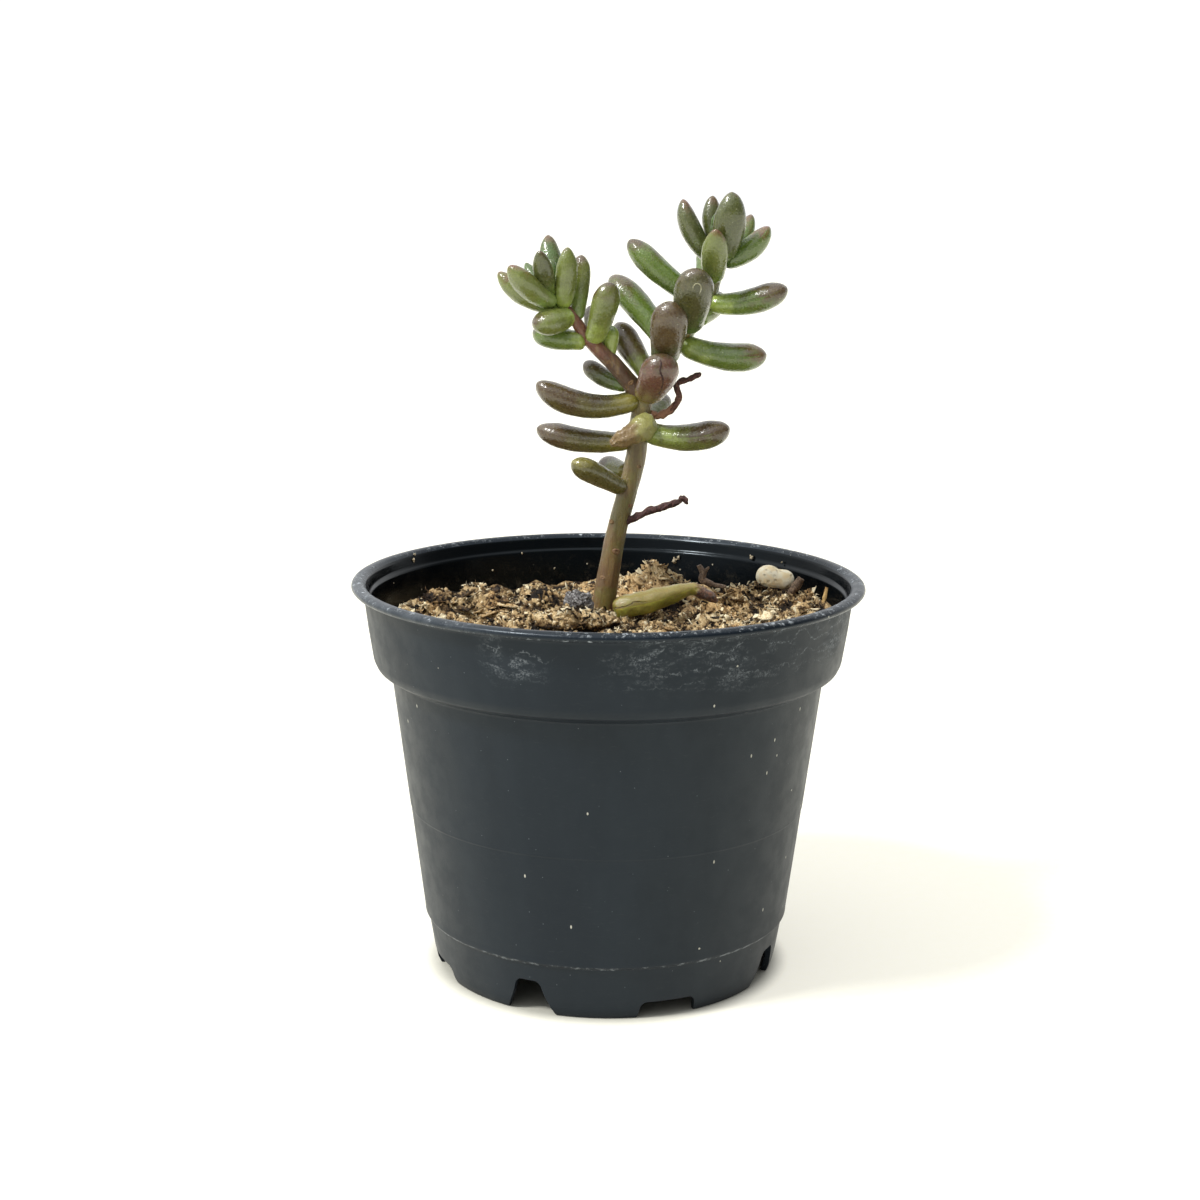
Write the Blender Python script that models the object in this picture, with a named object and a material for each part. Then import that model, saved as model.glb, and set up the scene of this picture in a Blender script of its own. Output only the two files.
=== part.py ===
"""A potted jelly bean plant: a young sedum with two leafy shoots in a thin nursery pot full of coir.

Metres, +Z up. The origin is the middle of the pot's foot, on the surface that the pot stands on.
The front of the plant, as it was seen, faces -Y. A bearing is an angle seen from above:
0 points right (+X), 90 points away (+Y), 180 left and 270 to the front.
"""

import math

import bmesh
import bpy
from mathutils import Matrix, Vector, noise

MM = 0.001

# Driving dimensions of the pot
POT_HEIGHT = 81.7 * MM
LIP_RADIUS = 52.5 * MM
COLLAR_TOP_RADIUS = 50.0 * MM
COLLAR_FOOT_RADIUS = 48.1 * MM
SHOULDER_HEIGHT = 62.8 * MM
BODY_TOP_RADIUS = 44.5 * MM
BODY_FOOT_RADIUS = 38.1 * MM
STEP_HEIGHT = 11.6 * MM
FOOT_TOP_RADIUS = 37.4 * MM
FOOT_RADIUS = 34.9 * MM
WALL = 1.0 * MM
FLOOR_UNDERSIDE = 9.0 * MM
FLOOR_TOP = 10.1 * MM
POT_SIDES = 64

# Gaps in the foot ring, four of each kind, and the drain holes in the floor
NOTCH_COUNT = 4
DEEP_NOTCH_BEARING = 245.5
DEEP_NOTCH_TOP = 7.4 * MM
DEEP_NOTCH_HALF_WIDTHS = (2.7 * MM, 3.3 * MM, 5.3 * MM)
LOW_NOTCH_BEARING = 290.5
LOW_NOTCH_TOP = 3.6 * MM
LOW_NOTCH_HALF_WIDTHS = (5.7 * MM, 5.8 * MM, 6.1 * MM)
DRAIN_RADIUS = 3.2 * MM
DRAIN_CIRCLE = 25.0 * MM
CENTRE_DRAIN_RADIUS = 4.0 * MM
DRAIN_SIDES = 16

# The soil: its surface lies a little under the lip, and is heaped round the stem
GAP = 0.3 * MM
SOIL_LEVEL = 73.0 * MM
SOIL_RADIUS = 47.0 * MM
SOIL_SIDES = 64
SOIL_RINGS = 17
# Each heap or hollow: x and y of its middle, how high it stands over the level, how wide it is (mm)
SOIL_HEAPS = (
    (0, 3, 2.2, 8),
    (-8, -4, 2.8, 6),
    (9, 20, 7.4, 6.5),
    (18, 18, 2.8, 6),
    (22, 11, 2.2, 4.5),
    (28, 13, 2.2, 6),
    (35, 18, 3.6, 6),
    (43, 8, 2.4, 6),
    (-14, 10, 3.4, 4.5),
    (-36, 8, 3.0, 7),
    (-27, 13, 2.6, 6),
    (28, -12, 1.4, 10),
    (-14, 34, -2.6, 12),
    (-34, 28, -2.6, 10),
    (26, 36, -1.4, 9),
)
CRUMB_SIZE = 4.6 * MM
CRUMB_HEIGHT = 1.3 * MM
SOIL_SEED = Vector((3.1, 7.4, 1.9))

# Stems: points that the middle of each stem passes through, with its radius there (mm)
MAIN_STEM = (
    ((-2.4, 4.0, 50.0), 2.1),
    ((-1.8, 4.0, 62.0), 2.3),
    ((-0.6, 4.0, 75.0), 2.4),
    ((1.7, 4.0, 91.0), 2.2),
    ((5.2, 4.0, 105.0), 2.05),
    ((6.9, 4.0, 118.0), 1.9),
    ((11.5, 3.6, 127.0), 1.6),
    ((18.2, 3.2, 136.5), 1.4),
    ((21.4, 3.0, 145.0), 1.3),
    ((22.3, 3.0, 149.5), 0.9),
)
SIDE_STEM = (
    ((7.2, 4.0, 117.0), 1.9),
    ((4.0, 3.4, 121.2), 1.8),
    ((0.9, 2.2, 125.0), 1.65),
    ((-2.1, 1.3, 127.9), 1.5),
    ((-5.1, 0.5, 131.1), 1.3),
    ((-8.2, -0.2, 135.4), 1.05),
    ((-11.4, -0.8, 137.6), 0.85),
    ((-12.4, -1.0, 139.6), 0.7),
)
STEM_SIDES = 10
STEM_STEPS = 2

# Leaves: the height of each leaf's root on the stem's middle (mm), the leaf's bearing, how steeply it rises
# at mid length and how far it turns upwards from base to tip (degrees), its length and greatest width (mm)
MAIN_LEAVES = (
    (99.5, 214, 27, 0, 14.0, 5.8),
    (103.0, 126, 5, 25, 9.5, 5.2),
    (109.5, 176, 6, 30, 20.0, 6.4),
    (111.5, 350, 4, 46, 18.0, 7.2),
    (114.0, 67, 15, 22, 12.5, 5.4),
    (118.2, 190, 9, 66, 22.5, 6.8),
    (118.8, 288, 42, 36, 13.5, 8.0),
    (122.5, 140, 50, 15, 13.5, 6.2),
    (126.0, 275, 52, 24, 15.5, 7.5),
    (128.5, 148, 44, -14, 19.5, 6.8),
    (129.5, 356, -7, 40, 18.0, 7.2),
    (130.5, 80, 26, 22, 14.0, 6.4),
    (132.5, 275, 46, 20, 17.0, 7.9),
    (134.0, 60, 24, 24, 11.5, 6.0),
    (137.5, 354, 12, 38, 16.5, 6.6),
    (137.8, 172, 39, 20, 19.0, 6.4),
    (139.0, 84, 48, 18, 13.0, 5.8),
    (141.3, 274, 47, 20, 14.0, 5.4),
    (145.0, 188, 58, 44, 14.5, 5.4),
    (145.2, 358, 38, 48, 12.0, 5.8),
    (145.5, 42, 48, 44, 12.5, 4.4),
    (145.4, 90, 62, 20, 12.0, 5.0),
    (145.8, 294, 67, 44, 14.8, 6.7),
    (147.0, 128, 78, 40, 11.5, 4.6),
    (148.4, 230, 78, 10, 7.0, 3.2),
    (148.8, 30, 80, 8, 6.5, 2.8),
)
WITHERED_BULB = ((6.7, 1.2, 112.3), (2.5, 2.3, 2.3))
WITHERED_TAIL = (
    ((6.1, 0.8, 112.1), 1.6),
    ((4.2, 0.0, 111.3), 1.35),
    ((2.4, -0.5, 110.7), 1.25),
    ((0.8, -0.8, 110.2), 1.15),
    ((-0.2, -1.0, 110.0), 0.7),
)
SIDE_LEAVES = (
    (120.6, 153, 24, 42, 11.0, 4.8),
    (126.2, 2, 81, 14, 10.0, 4.0),
    (127.6, 106, 52, 0, 11.0, 4.4),
    (129.5, 305, 63, 8, 12.8, 5.1),
    (130.0, 176, 10, 26, 11.0, 6.2),
    (134.0, 192, 0, 18, 8.2, 6.6),
    (133.8, 40, 83, 14, 13.0, 4.2),
    (136.2, 304, 77, 18, 12.4, 4.4),
    (136.4, 185, 30, 44, 14.0, 5.6),
    (136.6, 111, 68, 12, 14.7, 5.0),
    (137.0, 218, 36, 26, 13.3, 6.0),
    (137.8, 140, 47, 12, 10.0, 3.4),
    (138.8, 256, 52, 18, 11.5, 4.1),
    (139.2, 80, 80, 6, 7.0, 3.0),
)
LEAF_SIDES = 8
LEAF_FLATNESS = 0.8
# Shares of the leaf's length, and its width there as a share of the greatest
LEAF_SHARES = (0.0, 0.16, 0.36, 0.58, 0.74, 0.87, 0.955, 1.0)
LEAF_WIDTHS = (0.60, 0.68, 0.84, 0.98, 1.0, 0.84, 0.52, 0.16)
LEAF_ROOT_SHARE = 0.55

# Loose things: points along the middle, and the radius at each (mm)
LOWER_AERIAL_ROOT = (
    ((3.2, 3.4, 92.6), 0.6),
    ((7.4, 2.4, 94.9), 0.6),
    ((10.4, 1.8, 96.1), 0.65),
    ((13.5, 1.4, 96.8), 0.55),
    ((14.9, 1.2, 97.8), 0.6),
    ((15.9, 1.2, 97.0), 0.4),
)
UPPER_AERIAL_ROOT = (
    ((7.4, 4.4, 115.6), 0.6),
    ((10.0, 4.2, 114.5), 0.62),
    ((12.4, 4.2, 115.8), 0.58),
    ((14.0, 4.0, 118.2), 0.55),
    ((13.6, 3.8, 121.0), 0.5),
    ((15.6, 3.6, 122.0), 0.55),
    ((18.0, 3.4, 123.0), 0.45),
)
FALLEN_LEAF = (
    ((0.9, -0.9, 74.8), 1.5),
    ((1.5, -0.8, 75.0), 2.1),
    ((4.5, -0.5, 75.9), 2.4),
    ((8.1, 0.1, 76.6), 2.45),
    ((13.4, 1.3, 78.0), 2.1),
    ((16.9, 2.2, 78.8), 1.4),
    ((19.0, 2.7, 78.3), 0.95),
    ((20.8, 3.0, 77.3), 0.9),
    ((21.6, 3.2, 76.8), 0.55),
)
FORKED_TWIG = (
    ((19.1, 13.6, 81.9), 0.4),
    ((20.0, 13.4, 80.0), 0.55),
    ((19.9, 13.1, 78.7), 0.65),
    ((21.9, 12.8, 77.8), 0.55),
    ((24.5, 12.4, 77.3), 0.4),
)
TWIG_PRONG = (
    ((20.0, 13.3, 79.6), 0.4),
    ((20.5, 13.5, 80.3), 0.4),
    ((21.1, 13.7, 81.1), 0.3),
)
BARK_CHIP = (
    ((40.9, 14.0, 79.0), 0.7),
    ((39.9, 14.0, 77.5), 0.85),
    ((38.9, 14.0, 76.0), 0.7),
)
STRAW = (
    ((45.6, 6.6, 78.6), 0.35),
    ((45.2, 6.2, 76.6), 0.5),
    ((44.6, 5.8, 74.6), 0.45),
    ((44.0, 5.6, 73.4), 0.35),
)
THREAD_SIDES = 7
# A kidney-shaped pebble of lobes grown together: the middle of each lobe, and its half sizes (mm)
PEBBLE_LOBES = (
    ((34.2, 17.6, 78.6), (2.6, 2.4, 2.4)),
    ((37.4, 17.8, 77.9), (2.2, 2.1, 2.0)),
    ((35.7, 17.7, 77.6), (2.4, 2.0, 1.9)),
)
GREY_CRUMB = ((-5.6, -1.6, 76.8), (2.5, 2.2, 2.1))


def clear_scene():
    for obj in list(bpy.data.objects):
        bpy.data.objects.remove(obj)


def finish(name, colour, roughness):
    material = bpy.data.materials.new(name)
    material.use_nodes = True
    shader = material.node_tree.nodes["Principled BSDF"]
    shader.inputs["Base Color"].default_value = (*colour, 1.0)
    shader.inputs["Roughness"].default_value = roughness
    shader.inputs["Metallic"].default_value = 0.0
    return material


def add_object(name, bm, material=None, smooth_degrees=40):
    """An object of the closed bmesh, with its faces pointing out, shaded smooth between its sharp edges."""
    bmesh.ops.recalc_face_normals(bm, faces=bm.faces)
    mesh = bpy.data.meshes.new(name)
    bm.to_mesh(mesh)
    bm.free()
    mesh.shade_smooth()
    mesh.set_sharp_from_angle(angle=math.radians(smooth_degrees))
    if material:
        mesh.materials.append(material)
    obj = bpy.data.objects.new(name, mesh)
    bpy.context.scene.collection.objects.link(obj)
    return obj


def spun(profile, sides):
    """A bmesh turned about Z from (radius, height) points that start and end on the axis."""
    bm = bmesh.new()
    points = [bm.verts.new((radius, 0.0, height)) for radius, height in profile]
    edges = [bm.edges.new(pair) for pair in zip(points, points[1:])]
    bmesh.ops.spin(
        bm,
        geom=points + edges,
        cent=(0, 0, 0),
        axis=(0, 0, 1),
        angle=math.tau,
        steps=sides,
        use_merge=True,
    )
    bmesh.ops.remove_doubles(bm, verts=bm.verts, dist=0.01 * MM)
    return bm


def as_cutter(obj):
    obj.hide_render = True
    obj.display_type = "WIRE"
    return obj


def apply_boolean(obj, others, operation):
    """Joins the others to obj, or cuts them from it, in one Boolean, and removes them."""
    group = bpy.data.collections.new(obj.name + "_tools")
    for other in others:
        group.objects.link(other)
    boolean = obj.modifiers.new("Boolean", "BOOLEAN")
    boolean.operand_type = "COLLECTION"
    boolean.collection = group
    boolean.operation = operation
    boolean.solver = "EXACT"
    graph = bpy.context.evaluated_depsgraph_get()
    made = bpy.data.meshes.new_from_object(obj.evaluated_get(graph))
    obj.modifiers.clear()
    obj.data = made
    for other in list(group.objects):
        bpy.data.objects.remove(other)
    bpy.data.collections.remove(group)


def pot_profile():
    """The pot's section: along the underside, up the outside, over the lip, down the inside to the floor."""
    top = POT_HEIGHT
    shoulder = SHOULDER_HEIGHT
    underside = [
        (0.0, FLOOR_UNDERSIDE),
        (FOOT_TOP_RADIUS - 1.5 * MM, FLOOR_UNDERSIDE),
        (FOOT_RADIUS + 0.1 * MM, 4.0 * MM),
        (FOOT_RADIUS - 1.2 * MM, 0.0),
    ]
    outside = [
        (FOOT_RADIUS, 0.0),
        (FOOT_RADIUS + 0.7 * MM, 1.6 * MM),
        (FOOT_RADIUS + 1.3 * MM, 4.2 * MM),
        (FOOT_TOP_RADIUS, STEP_HEIGHT - 0.3 * MM),
        (BODY_FOOT_RADIUS - 0.1 * MM, STEP_HEIGHT),
        (BODY_FOOT_RADIUS, STEP_HEIGHT + 1.4 * MM),
        (BODY_TOP_RADIUS, shoulder),
        (BODY_TOP_RADIUS + 1.4 * MM, shoulder + 0.6 * MM),
        (COLLAR_FOOT_RADIUS - 0.7 * MM, shoulder + 1.5 * MM),
        (COLLAR_FOOT_RADIUS, shoulder + 3.0 * MM),
        (COLLAR_TOP_RADIUS - 0.9 * MM, top - 9.5 * MM),
        (COLLAR_TOP_RADIUS, top - 2.4 * MM),
        (COLLAR_TOP_RADIUS + 0.6 * MM, top - 1.8 * MM),
        (LIP_RADIUS - 0.5 * MM, top - 1.7 * MM),
        (LIP_RADIUS, top - 1.1 * MM),
        (LIP_RADIUS - 0.2 * MM, top - 0.45 * MM),
        (LIP_RADIUS - 0.9 * MM, top - 0.05 * MM),
        (LIP_RADIUS - 1.8 * MM, top),
    ]
    inside = [
        (COLLAR_TOP_RADIUS + 0.1 * MM, top - 0.2 * MM),
        (COLLAR_TOP_RADIUS - 0.6 * MM, top - 0.9 * MM),
        (COLLAR_TOP_RADIUS - 1.0 * MM, top - 3.0 * MM),
        (COLLAR_TOP_RADIUS - 1.6 * MM, top - 3.5 * MM),
        (COLLAR_FOOT_RADIUS - WALL, shoulder + 3.4 * MM),
        (COLLAR_FOOT_RADIUS - WALL - 0.7 * MM, shoulder + 2.2 * MM),
        (BODY_TOP_RADIUS - 0.2 * MM, shoulder + 1.3 * MM),
        (BODY_TOP_RADIUS - WALL, shoulder - 0.2 * MM),
        (BODY_FOOT_RADIUS - WALL, FLOOR_TOP + 1.6 * MM),
        (BODY_FOOT_RADIUS - WALL - 0.9 * MM, FLOOR_TOP),
        (0.0, FLOOR_TOP),
    ]
    return underside + outside + inside


def notch_cutter(bearing, top, half_widths):
    """A bar across the foot ring, with the outline of the gap, which widens downwards."""
    half_top, half_knee, half_foot = half_widths
    knee = 0.6 * top
    below = -1.0 * MM
    half = [(half_top, top), (half_knee, knee), (half_foot, 0.0), (half_foot, below)]
    outline = half + [(-side, height) for side, height in reversed(half)]
    bm = bmesh.new()
    face = bm.faces.new([bm.verts.new((FOOT_RADIUS - 6 * MM, side, height)) for side, height in outline])
    run = bmesh.ops.extrude_face_region(bm, geom=[face])
    moved = [part for part in run["geom"] if isinstance(part, bmesh.types.BMVert)]
    bmesh.ops.translate(bm, verts=moved, vec=(10 * MM, 0, 0))
    turn = Matrix.Rotation(math.radians(bearing), 3, "Z")
    bmesh.ops.rotate(bm, verts=bm.verts, cent=(0, 0, 0), matrix=turn)
    return as_cutter(add_object("notch_cutter", bm))


def drain_cutter(circle, bearing, radius):
    angle = math.radians(bearing)
    middle = (FLOOR_UNDERSIDE + FLOOR_TOP) / 2
    bm = bmesh.new()
    bmesh.ops.create_cone(
        bm,
        cap_ends=True,
        segments=DRAIN_SIDES,
        radius1=radius,
        radius2=radius,
        depth=6 * MM,
        matrix=Matrix.Translation((circle * math.cos(angle), circle * math.sin(angle), middle)),
    )
    return as_cutter(add_object("drain_cutter", bm))


def make_pot(material):
    pot = add_object("pot", spun(pot_profile(), POT_SIDES), material)
    cutters = [drain_cutter(0.0, 0.0, CENTRE_DRAIN_RADIUS)]
    for turn in range(NOTCH_COUNT):
        step = turn * 360 / NOTCH_COUNT
        deep = DEEP_NOTCH_BEARING + step
        cutters.append(notch_cutter(deep, DEEP_NOTCH_TOP, DEEP_NOTCH_HALF_WIDTHS))
        cutters.append(notch_cutter(LOW_NOTCH_BEARING + step, LOW_NOTCH_TOP, LOW_NOTCH_HALF_WIDTHS))
        cutters.append(drain_cutter(DRAIN_CIRCLE, deep, DRAIN_RADIUS))
    apply_boolean(pot, cutters, "DIFFERENCE")
    return pot


def smooth_path(points):
    """Places and radii read from a Catmull-Rom curve through the given points, in metres."""
    middles = [Vector(point) * MM for point, _ in points]
    radii = [radius * MM for _, radius in points]
    middles = [2 * middles[0] - middles[1], *middles, 2 * middles[-1] - middles[-2]]
    path = []
    for i in range(1, len(middles) - 2):
        before, start, end, after = middles[i - 1 : i + 3]
        for k in range(STEM_STEPS):
            t = k / STEM_STEPS
            place = 0.5 * (
                2 * start
                + (end - before) * t
                + (2 * before - 5 * start + 4 * end - after) * t**2
                + (3 * start - before - 3 * end + after) * t**3
            )
            path.append((place, radii[i - 1] * (1 - t) + radii[i] * t))
    path.append((middles[-2], radii[-1]))
    return path


def limb(path, sides, flatness=1.0, grow=0.0):
    """A closed bmesh lofted along the path: a ring at each place, quads between rings and a cap at each end.

    Flatness narrows the rings upwards. Grow makes the body that much larger all round, for a cutter.
    """
    bm = bmesh.new()
    places = [place for place, _ in path]
    aims = [(after - before).normalized() for before, after in zip([places[0], *places], places[1:])]
    aims.append((places[-1] - places[-2]).normalized())
    across = aims[0].cross(Vector((0, 0, 1)))
    if across.length < 0.2:
        across = aims[0].cross(Vector((0, 1, 0)))
    rings = []
    for i, ((place, radius), aim) in enumerate(zip(path, aims)):
        across = (across - across.dot(aim) * aim).normalized()
        upward = across.cross(aim)
        if i == 0:
            place = place - aim * grow
        if i == len(path) - 1:
            place = place + aim * grow
        ring = []
        for k in range(sides):
            angle = math.tau * k / sides
            out = across * math.cos(angle) * (radius + grow)
            out += upward * math.sin(angle) * (radius * flatness + grow)
            ring.append(bm.verts.new(place + out))
        rings.append(ring)
    for near, far in zip(rings, rings[1:]):
        for k in range(sides):
            bm.faces.new((near[k], near[(k + 1) % sides], far[(k + 1) % sides], far[k]))
    bm.faces.new(rings[0])
    bm.faces.new(rings[-1])
    return bm


def place_on(path, height):
    """The point and radius of the stem where its middle is at this height."""
    for (low, low_radius), (high, high_radius) in zip(path, path[1:]):
        if low.z <= height <= high.z:
            share = (height - low.z) / (high.z - low.z)
            return low.lerp(high, share), low_radius + (high_radius - low_radius) * share
    return path[-1]


def leaf_path(stem_path, height, bearing, rise, turn, length, width):
    """The leaf's middle line, from the stem's middle outwards and turning upwards, with half its width on it."""
    place, stem_radius = place_on(stem_path, height * MM)
    whole = length * MM + LEAF_ROOT_SHARE * stem_radius
    angle = math.radians(bearing)
    path = [(place, LEAF_WIDTHS[0] * width * MM / 2)]
    for before, share, width_share in zip(LEAF_SHARES, LEAF_SHARES[1:], LEAF_WIDTHS[1:]):
        slope = math.radians(rise + turn * ((before + share) / 2 - 0.5))
        aim = Vector((math.cos(slope) * math.cos(angle), math.cos(slope) * math.sin(angle), math.sin(slope)))
        place = place + aim * whole * (share - before)
        path.append((place, width_share * width * MM / 2))
    return path


def shoot_limbs(stem_points, leaves, material=None, grow=0.0):
    """The stem, and each of its leaves, as bodies of their own."""
    stem_path = smooth_path(stem_points)
    limbs = [add_object("stem", limb(stem_path, STEM_SIDES, 1.0, grow), material)]
    for leaf in leaves:
        body = limb(leaf_path(stem_path, *leaf), LEAF_SIDES, LEAF_FLATNESS, grow)
        limbs.append(add_object("leaf", body, material, 60))
    return limbs


def make_shoot(name, stem_points, leaves, material, others=()):
    """A stem with its leaves and whatever else grows on it joined to it, as one body."""
    shoot, *bodies = shoot_limbs(stem_points, leaves, material)
    shoot.name = name
    apply_boolean(shoot, [*bodies, *others], "UNION")
    return shoot


def seat_on_main_shoot(obj):
    """Cuts the obj's root off, just clear of the main shoot that it grows from."""
    apply_boolean(obj, shoot_limbs(MAIN_STEM, MAIN_LEAVES, grow=GAP), "DIFFERENCE")


def thread(name, points, material=None, grow=0.0):
    return add_object(name, limb(smooth_path(points), THREAD_SIDES, 1.0, grow), material)


def ball(name, middle, half_sizes, material=None, grow=0.0):
    bm = bmesh.new()
    bmesh.ops.create_icosphere(bm, subdivisions=2, radius=1.0)
    bmesh.ops.scale(bm, verts=bm.verts, vec=[half * MM + grow for half in half_sizes])
    bmesh.ops.translate(bm, verts=bm.verts, vec=Vector(middle) * MM)
    return add_object(name, bm, material)


def make_pebble(name, material=None, grow=0.0):
    """A kidney-shaped stone: rounded lobes grown together."""
    first, *others = (ball(name, *lobe, material, grow) for lobe in PEBBLE_LOBES)
    apply_boolean(first, others, "UNION")
    return first


def make_twig(name, material=None, grow=0.0):
    """A twig with a short prong near its upper end."""
    twig = thread(name, FORKED_TWIG, material, grow)
    apply_boolean(twig, [thread("prong", TWIG_PRONG, material, grow)], "UNION")
    return twig


def soil_height(x, y):
    """The height of the soil's surface: a level, the heaps on it, and a crumbly relief."""
    height = SOIL_LEVEL
    for heap_x, heap_y, rise, spread in SOIL_HEAPS:
        distance = math.hypot(x - heap_x * MM, y - heap_y * MM)
        height += rise * MM * math.exp(-((distance / (spread * MM)) ** 2))
    at = Vector((x, y, 0.0)) / CRUMB_SIZE + SOIL_SEED
    return height + CRUMB_HEIGHT * (noise.noise(at) + 0.5 * noise.noise(at * 2.1))


def make_soil(material, seats):
    """The soil fills the pot to a little under the lip, and is hollowed where a thing is seated in it."""
    top = [(SOIL_RADIUS * ring / SOIL_RINGS, SOIL_LEVEL) for ring in range(SOIL_RINGS + 1)]
    inner_foot = BODY_FOOT_RADIUS - WALL - 1.7 * GAP
    sides = [
        (COLLAR_FOOT_RADIUS - WALL - 1.7 * GAP, SHOULDER_HEIGHT + 3.9 * MM),
        (BODY_TOP_RADIUS - 1.0 * MM, SHOULDER_HEIGHT + 2.0 * MM),
        (BODY_TOP_RADIUS - WALL - 1.7 * GAP, SHOULDER_HEIGHT - 0.2 * MM),
        (inner_foot, FLOOR_TOP + 2.2 * MM),
        (inner_foot - 1.1 * MM, FLOOR_TOP + GAP),
        (0.0, FLOOR_TOP + GAP),
    ]
    bm = spun(top + sides, SOIL_SIDES)
    for vertex in bm.verts:
        if vertex.co.z > SOIL_LEVEL - 1 * MM:
            vertex.co.z = soil_height(vertex.co.x, vertex.co.y)
    soil = add_object("soil", bm, material)
    apply_boolean(soil, seats, "DIFFERENCE")
    return soil


def main():
    clear_scene()
    black_plastic = finish("black_plastic", (0.035, 0.042, 0.047), 0.5)
    coir = finish("coir", (0.30, 0.19, 0.10), 0.95)
    leaf_green = finish("leaf_green", (0.16, 0.23, 0.09), 0.35)
    side_green = finish("side_green", (0.20, 0.26, 0.12), 0.35)
    dried_root = finish("dried_root", (0.09, 0.045, 0.045), 0.8)
    yellow_green = finish("yellow_green", (0.27, 0.26, 0.07), 0.45)
    cream_stone = finish("cream_stone", (0.72, 0.60, 0.42), 0.8)
    grey_dust = finish("grey_dust", (0.28, 0.28, 0.30), 0.95)
    bark_brown = finish("bark_brown", (0.20, 0.11, 0.07), 0.9)
    straw_tan = finish("straw_tan", (0.45, 0.34, 0.18), 0.9)

    make_pot(black_plastic)
    withered = [ball("bulb", *WITHERED_BULB, leaf_green), thread("tail", WITHERED_TAIL, leaf_green)]
    make_shoot("main_shoot", MAIN_STEM, MAIN_LEAVES, leaf_green, withered)
    seat_on_main_shoot(make_shoot("side_shoot", SIDE_STEM, SIDE_LEAVES, side_green))
    seat_on_main_shoot(thread("lower_aerial_root", LOWER_AERIAL_ROOT, dried_root))
    seat_on_main_shoot(thread("upper_aerial_root", UPPER_AERIAL_ROOT, dried_root))

    seats = [add_object("stem_hole", limb(smooth_path(MAIN_STEM), STEM_SIDES, 1.0, GAP))]
    loose = (
        ("fallen_leaf", FALLEN_LEAF, yellow_green),
        ("bark_chip", BARK_CHIP, bark_brown),
        ("straw", STRAW, straw_tan),
    )
    for name, points, material in loose:
        thread(name, points, material)
        seats.append(thread(name + "_seat", points, grow=GAP))
    make_twig("forked_twig", bark_brown)
    seats.append(make_twig("forked_twig_seat", grow=GAP))
    make_pebble("pebble", cream_stone)
    seats.append(make_pebble("pebble_seat", grow=GAP))
    ball("grey_crumb", *GREY_CRUMB, grey_dust)
    seats.append(ball("grey_crumb_seat", *GREY_CRUMB, grow=GAP))
    make_soil(coir, seats)


main()
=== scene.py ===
# %% [markdown]
# # A jelly bean plant in a black nursery pot
# This lesson dresses a solid model of a small succulent. The solids give each piece its place and main
# form. Here each of them is made again, finer, from the same measurements, and gets a finish of its own.
# Reading the solids first tells us the room that the finer pieces have to stay in.

# %% Read the solids
import math

import bmesh
import bpy
from mathutils import Matrix, Vector, noise


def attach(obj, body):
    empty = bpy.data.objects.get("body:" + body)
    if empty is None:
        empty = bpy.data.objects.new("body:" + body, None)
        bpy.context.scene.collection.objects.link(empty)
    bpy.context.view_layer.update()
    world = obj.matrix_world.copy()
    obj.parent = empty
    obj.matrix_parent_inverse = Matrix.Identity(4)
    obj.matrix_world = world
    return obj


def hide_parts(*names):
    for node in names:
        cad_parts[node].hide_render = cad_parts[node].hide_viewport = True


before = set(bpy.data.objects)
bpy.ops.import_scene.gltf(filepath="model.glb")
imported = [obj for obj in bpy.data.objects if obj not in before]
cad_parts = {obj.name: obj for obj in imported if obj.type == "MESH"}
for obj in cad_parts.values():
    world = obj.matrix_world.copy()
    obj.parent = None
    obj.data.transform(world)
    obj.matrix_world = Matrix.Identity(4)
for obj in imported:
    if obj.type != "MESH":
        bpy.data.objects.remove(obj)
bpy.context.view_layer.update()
MM = 0.001
print("solids:", sorted(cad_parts))

# %% [markdown]
# Every finish and every growing rule below is a tree of nodes. Wiring one takes the same three steps
# each time: make the node, set what it is, and feed its inputs. One short helper does all three, and a
# few more give names to the sums that the finishes use most.

# %% Helpers that wire node trees


def put(tree, kind, inputs=None, **settings):
    """A new node with its settings, and with each input linked or set."""
    node = tree.nodes.new(kind)
    for name, value in settings.items():
        setattr(node, name, value)
    for name, value in (inputs or {}).items():
        if isinstance(value, bpy.types.NodeSocket):
            tree.links.new(value, node.inputs[name])
        else:
            node.inputs[name].default_value = value
    return node


def sum_of(tree, operation, *values):
    """One step of arithmetic on numbers or sockets."""
    return put(tree, "ShaderNodeMath", dict(enumerate(values)), operation=operation).outputs[0]


def times(tree, first, second):
    """The product of two numbers or sockets."""
    return sum_of(tree, "MULTIPLY", first, second)


def ease(tree, value, low, high, start=0.0, end=1.0):
    """Goes smoothly from start to end while the value goes from low to high."""
    inputs = {"Value": value, "From Min": low, "From Max": high, "To Min": start, "To Max": end}
    return put(tree, "ShaderNodeMapRange", inputs, interpolation_type="SMOOTHSTEP").outputs[0]


def blend(tree, share, first, second, how="MIX"):
    """Mixes two colours by a share."""
    inputs = {0: share, 6: first, 7: second}
    return put(tree, "ShaderNodeMix", inputs, data_type="RGBA", blend_type=how).outputs[2]


def tone(red, green, blue):
    """A colour as seen on a screen, 0 to 255, as the light it stands for."""
    parts = (red, green, blue)
    return tuple(((part / 255 + 0.055) / 1.055) ** 2.4 if part > 10 else part / 3295 for part in parts) + (1,)


print("a mid grey of 128 is", round(tone(128, 128, 128)[0], 3), "in light")

# %% [markdown]
# ## Helpers for finishes
# A finish is read from the place on the piece in millimetres, so that a grain of 0.3 has the same size
# on the pot and on a leaf. Noise gives clouds and grain, and cells give specks and pits.

# %% Helpers that start a finish


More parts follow.
